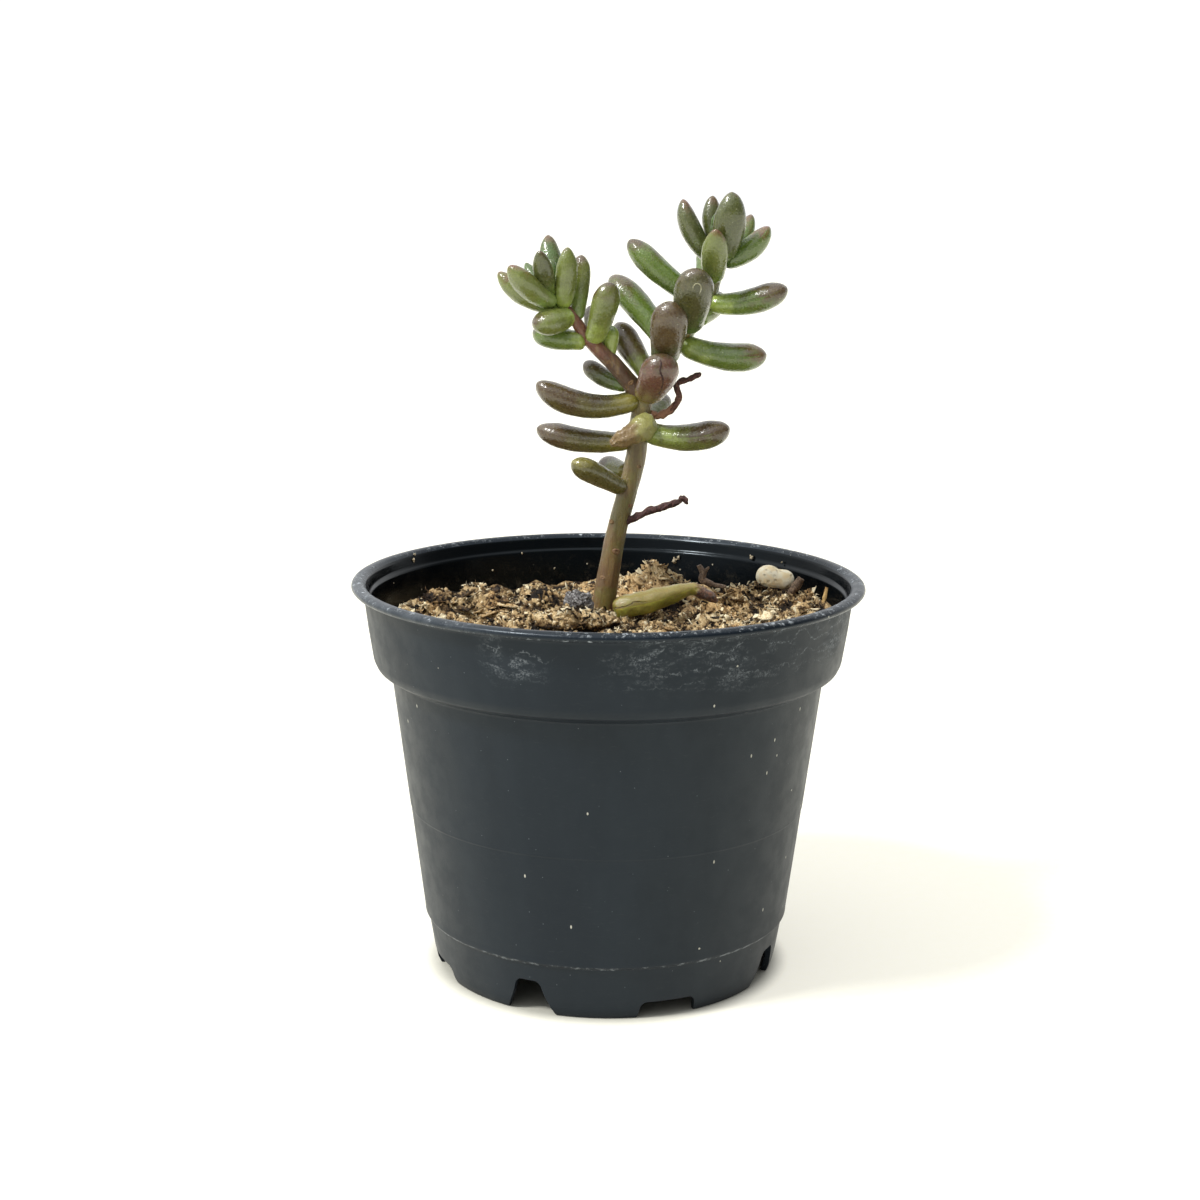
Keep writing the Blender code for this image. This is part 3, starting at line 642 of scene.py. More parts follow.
# %% [markdown]
# ## The leaves
# Leaves sit all round the stem, and each one leaves it on its own bearing and slope and turns upwards as
# it goes, like a banana. Each row gives the height on the stem, the bearing, the slope halfway along, how
# much the slope grows, the length and the width, then the three tints and the reach of the last one.
# The young leaves at the heads are green with small rust tips. The old ones are plum and olive.

# %% Measure the stems and leaves
MAIN_STEM = [
    ((-2.4, 4, 60), 2.5), ((-1.9, 4, 66), 2.6), ((-1.0, 4, 75), 2.45), ((1.7, 4, 91), 2.05),
    ((5.2, 4, 105), 2.05),
    ((6.9, 4, 118), 1.9), ((11.5, 3.6, 127), 1.6), ((18.2, 3.2, 136.5), 1.4), ((21.4, 3, 145), 1.3),
    ((22.3, 3, 149.5), 0.9),
]
SIDE_STEM = [
    ((6.4, 3.9, 118.2), 1.8), ((4, 3.4, 121.2), 1.8), ((0.9, 2.2, 125), 1.65), ((-2.1, 1.3, 127.9), 1.5),
    ((-5.1, 0.5, 131.1), 1.3), ((-8.2, -0.2, 135.4), 1.05), ((-11.4, -0.8, 137.6), 0.85),
    ((-12.4, -1, 139.6), 0.7),
]
MAIN_LEAVES = [
    (99.5, 214, 27, 0, 14, 5.8, "olive olive hay", 0.84),
    (103, 126, 5, 25, 9.5, 5.2, "hay sage mauve", 0.55),
    (109.5, 176, 6, 30, 20, 6.4, "hay olive plum", 0.52),
    (111.5, 350, 4, 46, 18, 7.2, "lime sage plum", 0.58),
    (114, 67, 15, 22, 12.5, 5.4, "sage sage mauve", 0.60),
    (118.2, 190, 9, 66, 22.5, 6.8, "hay olive plum", 0.52),
    (118.8, 288, 42, 36, 13.5, 8, "hay claret plum", 0.70),
    (122.5, 140, 50, 15, 13.5, 6.2, "lime olive plum", 0.50),
    (126, 275, 52, 24, 15.5, 7.5, "grass mauve plum", 0.62),
    (128.5, 148, 44, -14, 19.5, 6.8, "fern fern mauve", 0.74),
    (129.5, 356, -7, 40, 18, 7.2, "lime fern bronze", 0.74),
    (130.5, 80, 26, 22, 14, 6.4, "mint sage mauve", 0.80),
    (132.5, 275, 46, 20, 17, 7.9, "grass loden plum", 0.76),
    (134, 60, 24, 24, 11.5, 6, "mint sage mauve", 0.80),
    (137.5, 354, 12, 38, 16.5, 6.6, "lime fern plum", 0.60),
    (137.8, 172, 39, 20, 19, 6.4, "grass fern plum", 0.76),
    (139, 84, 48, 18, 13, 5.8, "grass fern mauve", 0.85),
    (142, 269, 48, 20, 14, 5.4, "fern sage rust", 0.80),
    (145.6, 188, 61, 44, 14.5, 5.4, "fern moss rust", 0.86),
    (145.6, 358, 38, 48, 12, 5.8, "grass fern rust", 0.80),
    (145.8, 42, 48, 44, 12.5, 4.4, "grass fern bronze", 0.80),
    (145.8, 90, 62, 20, 12, 5, "grass moss bronze", 0.84),
    (146.2, 287, 67, 44, 14.8, 6.7, "fern moss rust", 0.88),
    (147.6, 128, 78, 40, 11.5, 4.6, "grass moss bronze", 0.86),
    (148.4, 230, 78, 10, 7, 3.2, "lime grass bronze", 0.92),
    (148.8, 30, 80, 8, 6.5, 2.8, "lime grass bronze", 0.92),
]
SIDE_LEAVES = [
    (120.6, 153, 24, 42, 11, 4.8, "fern moss plum", 0.62),
    (126.6, 50, 84, 8, 6.2, 3.6, "lime lime fern", 0.80),
    (127.6, 106, 52, 0, 11, 4.4, "moss olive plum", 0.72),
    (129.7, 305, 64, 8, 13.4, 5.9, "lime sage plum", 0.70),
    (130, 176, 10, 26, 11, 6.2, "lime fern mauve", 0.86),
    (135, 224, -8, 14, 9.4, 6.7, "lime sage plum", 0.84),
    (134, 60, 83, 14, 13, 4.2, "mint sage mauve", 0.80),
    (136.5, 290, 77, 18, 12.4, 4.6, "lime sage wine", 0.85),
    (136.7, 185, 30, 44, 14, 5.6, "mint sage rust", 0.82),
    (137, 111, 68, 12, 14.7, 5, "fern grass bronze", 0.85),
    (137.3, 218, 36, 26, 13.3, 6, "mint sage rust", 0.82),
    (137.8, 140, 47, 12, 10, 3.4, "grass grass moss", 0.90),
    (139, 256, 52, 18, 11.5, 4.1, "fern moss plum", 0.80),
    (139.2, 80, 80, 6, 7, 3, "grass grass moss", 0.90),
]
print(len(MAIN_LEAVES), "leaves on the main shoot,", len(SIDE_LEAVES), "on the side shoot")

# %% Draw a leaf's line
LEAF_RINGS = 42
HEEL = 0.15
OLD_STOPS = [(0, 0.76), (0.20, 0.80), (0.38, 0.90), (0.56, 0.985), (0.70, 1.0)]
YOUNG_STOPS = [(0, 0.70), (0.15, 0.80), (0.34, 0.94), (0.54, 1.0)]


def leaf_width(share, young):
    """The leaf's width as a share of the widest: a round heel, a full middle, and a blunt or pointed tip."""
    stops, curve, taper = (YOUNG_STOPS, 2.0, 0.58) if young else (OLD_STOPS, 2.15, 0.56)
    heel = math.sqrt(max(0.0, 1 - (1 - min(share / HEEL, 1)) ** 2.4))
    if share >= stops[-1][0]:
        past = (share - stops[-1][0]) / (1 - stops[-1][0])
        return max(0.03, (1 - past**curve) ** taper) if past < 1 else 0.03
    for (low, low_width), (high, high_width) in zip(stops, stops[1:]):
        if share <= high:
            t = (share - low) / (high - low)
            return max(0.04, heel * (low_width + (high_width - low_width) * t))
    return 1.0


def stem_at(run, height):
    """The middle and half width of a stem at a height in millimetres."""
    for (low, low_half), (high, high_half) in zip(run, run[1:]):
        if low.z <= height * MM <= high.z:
            t = (height * MM - low.z) / (high.z - low.z)
            return low.lerp(high, t), low_half + (high_half - low_half) * t
    return run[-1]


def leaf_limb(stem_run, young_from, row):
    """A leaf's run from its heel in the stem's skin outwards, its rings closer together at both ends."""
    height, bearing, rise, turn, length, width, tints, reach = row
    place, stem_half = stem_at(stem_run, height)
    angle = math.radians(bearing)
    place = place + Vector((math.cos(angle), math.sin(angle), 0)) * 0.5 * stem_half
    whole = length * MM + 0.05 * stem_half
    half = width * MM / 2
    shares = [0.5 - 0.5 * math.cos(math.pi * k / LEAF_RINGS) for k in range(LEAF_RINGS + 1)]
    run = [(place, leaf_width(0, height > young_from) * half)]
    for before, share in zip(shares, shares[1:]):
        slope = math.radians(rise + turn * ((before + share) / 2 - 0.5))
        aim = Vector((math.cos(slope) * math.cos(angle), math.cos(slope) * math.sin(angle), math.sin(slope)))
        place = place + aim * whole * (share - before)
        run.append((place, leaf_width(share, height > young_from) * half))
    return run, tints, reach


main_run = flowing(MAIN_STEM)
side_run = flowing(SIDE_STEM)
for name, stem_run, young_from, rows, slot in (
    ("main_leaves", main_run, 140, MAIN_LEAVES, "leaf_green"),
    ("side_leaves", side_run, 134.5, SIDE_LEAVES, "side_green"),
):
    drawn_lines = line_mesh(name, [leaf_limb(stem_run, young_from, row) for row in rows])
    leaves = made_by(
        limb_rule, name, drawn_lines, sides=22, flatness=0.8, lump_height=0.18 * MM, lumps_per_metre=300.0,
        furrows=1.0, furrow_depth=0.0, material=skin,
    )
    hand_over(leaves, slot)

# %% [markdown]
# ## The stems
# The main stem is green and fleshy above and turns to corky olive-brown near the soil, with fine streaks
# along it and small oval scars where old leaves fell. The side stem is rose-brown. They are limbs too,
# with a drier finish. A scar is a low oval blister with a dark dent in it.

# %% Finish and grow the stems


def stem_bark(name, greenness):
    finish, tree, shader, place = start_finish(name)
    share, reach = (carried(tree, label)[1] for label in ("share", "reach"))
    foot, heart, tip = (carried(tree, label)[0] for label in ("foot_tint", "heart_tint", "tip_tint"))
    wander = sum_of(tree, "SUBTRACT", clouds(tree, place, 0.3, 4.0, 0.65), 0.5)
    way = sum_of(tree, "MULTIPLY_ADD", wander, 0.45, share)
    colour = blend(tree, ease(tree, way, 0.20, 0.50), foot, heart)
    colour = blend(tree, ease(tree, sum_of(tree, "SUBTRACT", way, reach), -0.2, 0.2), colour, tip)
    streaks = clouds(tree, stretched(tree, place, (1, 1, 0.14)), 0.9, 5.0, 0.7)
    colour = blend(tree, ease(tree, streaks, 0.48, 0.62, 0.0, 0.75), colour, blend(tree, 0.5, colour, TINTS["umber"]))
    colour = blend(tree, ease(tree, streaks, 0.48, 0.34, 0.0, 0.65), colour, blend(tree, 0.5, colour, tone(166, 142, 96)))
    flush = ease(tree, clouds(tree, place, 0.22, 3.0, 0.5), 0.46, 0.60, 0.0, greenness)
    colour = blend(tree, flush, colour, blend(tree, 0.6, colour, tone(112, 116, 48)))
    spots = specks(tree, place, 0.55, 0.20, 0.82)
    colour = blend(tree, times(tree, spots, 0.7), colour, tone(104, 50, 38))
    tree.links.new(colour, shader.inputs["Base Color"])
    tree.links.new(ease(tree, streaks, 0.3, 0.7, 0.24, 0.42), shader.inputs["Roughness"])
    shader.inputs["Coat Weight"].default_value = 0.5
    shader.inputs["Coat Roughness"].default_value = 0.16
    shader.inputs["Subsurface Weight"].default_value = 0.12
    shader.inputs["Subsurface Scale"].default_value = 0.001
    relief(tree, shader, (streaks, 0.26), (clouds(tree, place, 1.6, 5.0, 0.7), 0.20), (spots, 0.05))
    return finish


barks = {"main_stem": stem_bark("stem_bark", 0.6), "side_stem": stem_bark("rosy_bark", 0.0)}
for name, run, tints, reach, slot, node in (
    ("main_stem", main_run, "bark moor fern", 0.78, "leaf_green", "main_shoot"),
    ("side_stem", side_run, "bronze rose rose", 0.60, "side_green", "side_shoot"),
):
    lines_of = line_mesh(name, [(closed_tip(run), tints, reach)])
    stem = made_by(
        limb_rule, name, lines_of, sides=28, flatness=1.0, lump_height=0.22 * MM, lumps_per_metre=260.0,
        furrows=7.0, furrow_depth=0.04 * MM, material=barks[name],
    )
    hand_over(stem, slot, node)

# %% Leave scars on the stems
SCARS = [
    (main_run, 81, 240, 0.55), (main_run, 86.8, 292, 0.75), (main_run, 92.4, 215, 0.6),
    (main_run, 96.5, 318, 0.6),
    (main_run, 104.5, 300, 0.5), (main_run, 85, 120, 0.7), (main_run, 93, 60, 0.7), (main_run, 99, 30, 0.6),
    (side_run, 121.6, 285, 0.6), (side_run, 126.2, 255, 0.5), (side_run, 123.5, 120, 0.5),
]
SCAR_SIDES = 14
SCAR_RINGS = [(1.35, -0.12), (1.15, 0.06), (0.9, 0.16), (0.62, 0.12), (0.36, 0.02)]


def scars(name, rows):
    """Low oval blisters with a dent in the middle, set on the stems' surface."""
    bm = bmesh.new()
    for run, height, bearing, size in rows:
        middle, half = stem_at(run, height)
        further, _ = stem_at(run, height + 1.5)
        upwards = (further - middle).normalized()
        angle = math.radians(bearing)
        outwards = Vector((math.cos(angle), math.sin(angle), 0))
        outwards = (outwards - outwards.dot(upwards) * upwards).normalized()
        sideways = upwards.cross(outwards)
        seat = middle + outwards * half
        rings = []
        for wide, lift in SCAR_RINGS:
            turns_of = [math.tau * k / SCAR_SIDES for k in range(SCAR_SIDES)]
            flat = [(wide * size * math.cos(a), 0.62 * wide * size * math.sin(a)) for a in turns_of]
            drop = [half - math.sqrt(max(half**2 - (a * MM) ** 2, 0)) for a, _ in flat]
            spots = [
                seat + (sideways * a + upwards * b + outwards * lift) * MM - outwards * d
                for (a, b), d in zip(flat, drop)
            ]
            rings.append([bm.verts.new(spot) for spot in spots])
        for outer_ring, inner_ring in zip(rings, rings[1:]):
            for k in range(SCAR_SIDES):
                after = (k + 1) % SCAR_SIDES
                bm.faces.new((outer_ring[k], outer_ring[after], inner_ring[after], inner_ring[k]))
        bm.faces.new(rings[-1])
        bm.faces.new(rings[0][::-1])
    mesh = bpy.data.meshes.new(name)
    bmesh.ops.recalc_face_normals(bm, faces=bm.faces)
    bm.to_mesh(mesh)
    mesh.shade_smooth()
    obj = bpy.data.objects.new(name, mesh)
    bpy.context.scene.collection.objects.link(obj)
    return obj


def scar_skin():
    finish, tree, shader, place = start_finish("scar_skin")
    dry = clouds(tree, place, 1.5, 5.0, 0.7)
    colour = blend(tree, ease(tree, dry, 0.35, 0.65), tone(92, 62, 42), tone(150, 122, 84))
    tree.links.new(colour, shader.inputs["Base Color"])
    shader.inputs["Roughness"].default_value = 0.7
    relief(tree, shader, (dry, 0.12))
    return finish


stem_scars = scars("stem_scars", SCARS)
stem_scars.data.materials.append(scar_skin())
hand_over(stem_scars, "leaf_green")

# %% [markdown]
# Wrinkled skin is wanted for the marks, the roots, the twigs and the crumbs alike, so its finish takes
# three shades. Wrinkles choose between the first two, and blotches lay the third over them.

# %% Finish dry skins


def dry_skin(name, dark, light, pale, rough=0.75, gloss=0.3, pale_start=0.0):
    """Wrinkled dry skin between a dark, a light and a rare pale colour."""
    finish, tree, shader, place = start_finish(name)
    wrinkles = clouds(tree, place, 2.0, 5.0, 0.72, 0.8)
    blotches = clouds(tree, place, 0.6, 4.0, 0.65)
    colour = blend(tree, ease(tree, wrinkles, 0.36, 0.66), dark, light)
    colour = blend(tree, ease(tree, blotches, 0.56, 0.74, 0.0, 0.6), colour, pale)
    if pale_start:
        start = ease(tree, carried(tree, "share")[1], 0.12, pale_start, 0.9, 0.0)
        colour = blend(tree, start, colour, pale)
    tree.links.new(colour, shader.inputs["Base Color"])
    tree.links.new(ease(tree, blotches, 0.3, 0.7, rough, rough - gloss * 0.5), shader.inputs["Roughness"])
    relief(tree, shader, (wrinkles, 0.22), (clouds(tree, place, 5.0, 3.0, 0.6), 0.05))
    return finish

# %% [markdown]
# ## Marks on two leaves
# Two leaves at the front were bumped. One has healed with a thin pale crescent of cork, the other has
# folded a little and shows a dark crease from its tip down. Each mark is a very thin limb half sunk in
# the skin, drawn through points measured on the leaf's surface.

# %% Draw the crescent and the crease
CRESCENT = [
    ((15.97, -9.79, 140.86), 0.05), ((16.05, -9.96, 141.64), 0.10), ((16.72, -10.02, 142.13), 0.13),
    ((17.41, -9.88, 141.74), 0.12),
    ((17.53, -9.64, 140.86), 0.09), ((17.17, -9.42, 140.07), 0.05),
]
CREASE = [
    ((9.61, -6.53, 127.68), 0.06), ((10.0, -7.54, 126.4), 0.14), ((9.82, -7.71, 124.84), 0.17),
    ((10.45, -7.01, 123.19), 0.13),
    ((10.31, -5.55, 121.45), 0.09), ((9.78, -3.66, 119.84), 0.05),
]
for name, points, finish in (
   
    ("pale_crescent", CRESCENT, dry_skin("healed_cork", tone(132, 128, 96), tone(176, 174, 144), tone(206, 206, 184))),
    ("dark_crease", CREASE, dry_skin("crease_shade", tone(38, 20, 20), tone(66, 38, 34), tone(84, 52, 44))),
):
    lines_of = line_mesh(name, [(closed_tip(flowing(points, 8)), "umber umber umber", 0.5)])
    mark = made_by(
        limb_rule, name, lines_of, sides=10, flatness=1.0, lump_height=0.06 * MM, lumps_per_metre=900.0,
        furrows=2.0, furrow_depth=0.0, material=finish,
    )
    hand_over(mark, "leaf_green")

# %% [markdown]
# ## Dry roots and the withered leaf
# Two roots that never reached the soil have dried in the air, thin, dark purple-brown and kinked. Below
# them, an old leaf has shrunk to a pale bulb with a wrinkled tan tail. All of these are limbs with
# deep furrows, because a thing that dries keeps its skin and loses what filled it.

# %% Twist the dry roots
root_skins = [
    dry_skin("dried_root", tone(40, 22, 22), tone(88, 54, 50), tone(150, 116, 100)),
    dry_skin("dried_root_pale", tone(44, 24, 22), tone(98, 60, 52), tone(176, 128, 100), pale_start=0.62),
]
LOWER_ROOT = [
    ((3.7, 3.3, 92.8), 0.85), ((7.4, 2.4, 94.7), 0.72), ((10.4, 1.8, 96.0), 0.80), ((13.5, 1.4, 96.9), 0.62),
    ((14.9, 1.2, 97.9), 0.62), ((15.9, 1.2, 97.1), 0.40),
]
UPPER_ROOT = [
    ((8.4, 4.3, 115.1), 0.70), ((10, 4.2, 114.5), 0.72), ((12.4, 4.2, 115.8), 0.74), ((14, 4, 118.2), 0.72),
    ((13.6, 3.8, 121), 0.55), ((15.6, 3.6, 122), 0.62), ((18, 3.4, 123), 0.50),
]
for name, points, node, root_skin in (
    ("lower_dry_root", LOWER_ROOT, "lower_aerial_root", root_skins[0]),
    ("upper_dry_root", UPPER_ROOT, "upper_aerial_root", root_skins[1]),
):
    strands = [flowing(points, 14)]
    for wind, offset, share in ((0.9, 0.42, 0.95), (-1.1, 0.50, 0.72)):
        path = strands[0][: int(share * len(strands[0]))]
        winds = [wind * k / 4 for k in range(len(path))]
        aside = [Vector((0.3 * math.sin(a), math.cos(a), math.sin(a))) * offset * MM for a in winds]
        strands.append([(place + away, half * 0.62) for (place, half), away in zip(path, aside)])
    lines_of = line_mesh(name, [(closed_tip(strand), "plum plum plum", 0.5) for strand in strands])
    root = made_by(
        limb_rule, name, lines_of, sides=16, flatness=0.90, lump_height=0.38 * MM, lumps_per_metre=800.0,
        furrows=3.0, furrow_depth=0.10 * MM, material=root_skin,
    )
    hand_over(root, "dried_root", node)

# %% Shrivel the withered leaf
WITHERED = [
    ((7.8, 2.2, 114.8), 0.7), ((7.5, 1.7, 114.2), 2.0), ((6.9, 1.1, 113.1), 2.75), ((6.0, 0.7, 112.1), 2.7),
    ((5.0, 0.3, 111.4), 2.35), ((4.0, -0.1, 110.9), 2.15), ((2.8, -0.4, 110.5), 2.0),
    ((1.7, -0.7, 110.0), 1.6), ((1.0, -0.9, 109.6), 0.9),
]
withered_skin = leaf_skin("withered_skin", 0.42, 0.05, 0.20)
lines_of = line_mesh("withered_leaf", [(closed_tip(flowing(WITHERED, 10)), "pith pith husk", 0.46)])
withered = made_by(
    limb_rule, "withered_leaf", lines_of, sides=30, flatness=0.94, lump_height=0.70 * MM, lumps_per_metre=400.0,
    furrows=6.0, furrow_depth=0.12 * MM, material=withered_skin,
)
hand_over(withered, "yellow_green")

# %% [markdown]
# ## Things lying on the soil
# A fallen leaf still has some juice: yellow-green below, olive on top, with a dark crease along its side
# and a shrivelled red-brown tail. Beside it stand a forked twig, a chip of bark and a straw. Each is a
# limb with its own points and finish.

# %% Lay the fallen leaf
FALLEN = [
    ((1.2, -0.9, 75.2), 0.5), ((1.35, -0.88, 75.25), 1.6), ((1.8, -0.84, 75.35), 2.15),
    ((2.8, -0.74, 75.55), 2.42), ((4.7, -0.5, 76.0), 2.5), ((8.1, 0.1, 76.6), 2.45), ((13.4, 1.3, 78), 2.0),
    ((16.9, 2.2, 78.9), 1.45), ((19, 2.6, 78.2), 1.25), ((21.0, 2.9, 77.2), 1.2), ((22.2, 3.1, 76.4), 0.6),
]


def fallen_skin():
    finish, tree, shader, place = start_finish("fallen_skin")
    share, around = (carried(tree, label)[1] for label in ("share", "around"))
    wander = sum_of(tree, "SUBTRACT", clouds(tree, place, 0.4, 4.0, 0.6), 0.5)
    upper = sum_of(tree, "SINE", times(tree, around, -math.tau))
    top = ease(tree, sum_of(tree, "MULTIPLY_ADD", wander, 2.2, upper), -0.7, 0.5)
    colour = blend(tree, top, tone(152, 148, 54), tone(134, 122, 58))
    way = sum_of(tree, "MULTIPLY_ADD", wander, 0.3, share)
    tail = ease(tree, way, 0.66, 0.78)
    wrinkles = clouds(tree, place, 1.3, 5.0, 0.75, 1.2)
    shrivelled = blend(tree, ease(tree, wrinkles, 0.42, 0.60), tone(66, 40, 28), tone(146, 98, 66))
    colour = blend(tree, tail, colour, shrivelled)
    mottle = ease(tree, clouds(tree, place, 2.2, 6.0, 0.8), 0.42, 0.66, 0.0, 0.6)
    colour = blend(tree, mottle, colour, blend(tree, 0.5, colour, tone(92, 66, 34)))
    off = sum_of(tree, "SUBTRACT", sum_of(tree, "MULTIPLY_ADD", wander, 0.20, around), 0.955)
    off = sum_of(tree, "ABSOLUTE", off)
    along_it = times(tree, ease(tree, share, 0.10, 0.16), ease(tree, share, 0.40, 0.50, 1.0, 0.0))
    crease = times(tree, ease(tree, off, 0.0, 0.014, 1.0, 0.0), along_it)
    colour = blend(tree, times(tree, crease, 0.70), colour, tone(70, 46, 22))
    tree.links.new(colour, shader.inputs["Base Color"])
    tree.links.new(ease(tree, mottle, 0.0, 0.5, 0.34, 0.5), shader.inputs["Roughness"])
    shader.inputs["Subsurface Weight"].default_value = 0.2
    shader.inputs["Subsurface Scale"].default_value = 0.001
    valley = sum_of(tree, "SUBTRACT", 1.0, crease)
    shader.inputs["Coat Weight"].default_value = 0.4
    shader.inputs["Coat Roughness"].default_value = 0.2
    wrinkled = times(tree, wrinkles, tail)
    relief(tree, shader, (valley, 0.35), (clouds(tree, place, 1.6, 5.0, 0.65), 0.16), (wrinkled, 0.9))
    return finish


lines_of = line_mesh("fallen_leaf_fine", [(closed_tip(flowing(FALLEN, 12)), "hay olive bronze", 0.7)])
fallen = made_by(
    limb_rule, "fallen_leaf_fine", lines_of, sides=28, flatness=0.94, lump_height=0.50 * MM, lumps_per_metre=360.0,
    furrows=3.0, furrow_depth=0.05 * MM, material=fallen_skin(),
)
hand_over(fallen, "yellow_green", "fallen_leaf")

# %% Stand the twig, the chip and the straw
TWIG = [
    ((19.1, 13.6, 81.7), 0.55), ((20, 13.4, 80), 0.85), ((19.9, 13.1, 78.7), 0.95),
    ((21.9, 12.8, 77.8), 0.7), ((24.5, 12.4, 77.3), 0.45),
]
PRONG = [((20, 13.3, 79.6), 0.55), ((20.5, 13.5, 80.3), 0.45), ((21.1, 13.7, 81.1), 0.3)]
CHIP = [((40.9, 14, 79), 0.9), ((39.9, 14, 77.5), 1.15), ((38.9, 14, 76), 1.0)]
STRAW = [
    ((45.6, 6.6, 78.6), 0.3), ((45.2, 6.2, 76.6), 0.45), ((44.6, 5.8, 74.6), 0.42), ((44, 5.6, 73.4), 0.32),
]
twig_skin = dry_skin("twig_skin", tone(66, 50, 38), tone(134, 110, 86), tone(184, 162, 134))
straw_skin = dry_skin("straw_skin", tone(128, 96, 52), tone(196, 164, 104), tone(222, 200, 150))
for name, paths, finish, slot, node in (
    ("twig_fine", (TWIG, PRONG), twig_skin, "bark_brown", "forked_twig"),
    ("bark_chip_fine", (CHIP,), twig_skin, "bark_brown", "bark_chip"),
    ("straw_fine", (STRAW,), straw_skin, "straw_tan", "straw"),
):
    runs = [(closed_tip(flowing(points, 12)), "umber umber tan", 0.8) for points in paths]
    piece = made_by(
        limb_rule, name, line_mesh(name, runs), sides=14, flatness=0.85, lump_height=0.26 * MM, lumps_per_metre=800.0,
        furrows=5.0, furrow_depth=0.06 * MM, material=finish,
    )
    hand_over(piece, slot, node)

# %% [markdown]
# ## The pebble and the grey crumb
# The pebble is a cream, kidney-shaped stone with shallow pits. The crumb is a lump of peat with grey
# and white dust on it. Both are balls grown together: seen from the middle, the surface lies where the
# furthest ball ends, with the hollows between them eased over. A noise then roughens it.

# %% Grow the stones


def lumpy_stone(name, balls, roughness, per_mm, finish, fineness=5):
    """A closed stone from overlapping balls, each a middle and half sizes in millimetres."""
    heart = sum((Vector(middle) for middle, _ in balls), Vector()) / len(balls)
    bm = bmesh.new()
    bmesh.ops.create_icosphere(bm, subdivisions=fineness, radius=1.0)
    for vert in bm.verts:
        way = vert.co.normalized()
        reach = 0.0
        for middle, sizes in balls:
            scaled = Vector(a / b for a, b in zip(way, sizes))
            offset = Vector((a - b) / c for a, b, c in zip(heart, middle, sizes))
            a, b, c = scaled.dot(scaled), scaled.dot(offset), offset.dot(offset) - 1
            inside = b * b - a * c
            if inside > 0:
                reach += max(0.0, (-b + math.sqrt(inside)) / a) ** 9
        reach = reach ** (1 / 9)
        spot = heart + way * reach
        rough = noise.fractal(spot * per_mm, 0.9, 2.1, 5)
        vert.co = (heart + way * (reach * 0.97 + roughness * (rough - 0.3))) * MM
    mesh = bpy.data.meshes.new(name)
    bm.to_mesh(mesh)
    mesh.shade_smooth()
    mesh.materials.append(finish)
    obj = bpy.data.objects.new(name, mesh)
    bpy.context.scene.collection.objects.link(obj)
    return obj


def cream_stone():
    finish, tree, shader, place = start_finish("cream_stone")
    warm = clouds(tree, place, 0.5, 4.0, 0.6)
    colour = blend(tree, ease(tree, warm, 0.35, 0.65), tone(255, 247, 220), tone(244, 222, 176))
    distance, _ = cells(tree, place, 0.9)
    pits = ease(tree, distance, 0.10, 0.36, 1.0, 0.0)
    colour = blend(tree, times(tree, pits, 0.22), colour, tone(158, 130, 92))
    colour = blend(tree, ease(tree, clouds(tree, place, 2.4, 5.0, 0.7), 0.6, 0.8, 0.0, 0.35), colour, tone(140, 112, 76))
    tree.links.new(colour, shader.inputs["Base Color"])
    tree.links.new(ease(tree, warm, 0.3, 0.7, 0.62, 0.8), shader.inputs["Roughness"])
    relief(tree, shader, (sum_of(tree, "SUBTRACT", 1.0, pits), 0.22), (clouds(tree, place, 3.5, 4.0, 0.6), 0.08))
    return finish


def grey_dust():
    finish, tree, shader, place = start_finish("grey_dust")
    patches = clouds(tree, place, 0.7, 6.0, 0.78)
    colour = blend(tree, ease(tree, patches, 0.40, 0.56), tone(44, 38, 32), tone(104, 102, 102))
    colour = blend(tree, ease(tree, clouds(tree, place, 2.2, 5.0, 0.75), 0.50, 0.62), colour, tone(186, 184, 182))
    tree.links.new(colour, shader.inputs["Base Color"])
    tree.links.new(ease(tree, patches, 0.3, 0.7, 0.8, 0.96), shader.inputs["Roughness"])
    relief(tree, shader, (patches, 0.5), (clouds(tree, place, 4.0, 5.0, 0.7), 0.2))
    return finish


PEBBLE = [
    ((34.1, 17.4, 78.7), (2.75, 2.5, 2.5)), ((37.5, 17.6, 78.0), (2.35, 2.2, 2.15)),
    ((35.8, 17.5, 78.1), (2.8, 2.3, 2.15)),
]
CRUMB = [((-6.7, -2.2, 77.1), (2.7, 2.3, 2.4)), ((-4.9, -1.8, 76.9), (2.2, 2.0, 2.2))]
hand_over(lumpy_stone("pebble_fine", PEBBLE, 0.10, 0.5, cream_stone()), "cream_stone", "pebble")
hand_over(lumpy_stone("grey_crumb_fine", CRUMB, 0.8, 0.60, grey_dust()), "grey_dust", "grey_crumb")

# %% [markdown]
# ## The soil
# The pot holds coir and peat that dried into crumbs, splinters and fibres from dust size up to a few
# millimetres, tan where they catch the light and almost black in the gaps. The body of the soil is one
# closed mesh that follows the solid's heaps with a rougher relief. Over it a rule strews the loose
# parts: it scatters points on the surface, puts a small shape on each one, turned and sized at random
# from a fixed seed, and then warps them all so that no two look the same. The black of the gaps is
# painted shade: each place keeps how far it stands out of the valleys around it, its lift, and the
# finishes paint the low places darker.

# %% Finish the soil
# from dark peat to bleached fibre; the dark end also gives the painted shade of the valleys
SOIL_SHADES = [
    (0.0, tone(20, 15, 11)), (0.20, tone(70, 53, 35)), (0.40, tone(140, 113, 76)),
    (0.62, tone(198, 169, 122)),
    (0.82, tone(232, 210, 166)), (1.0, tone(250, 236, 200)),
]


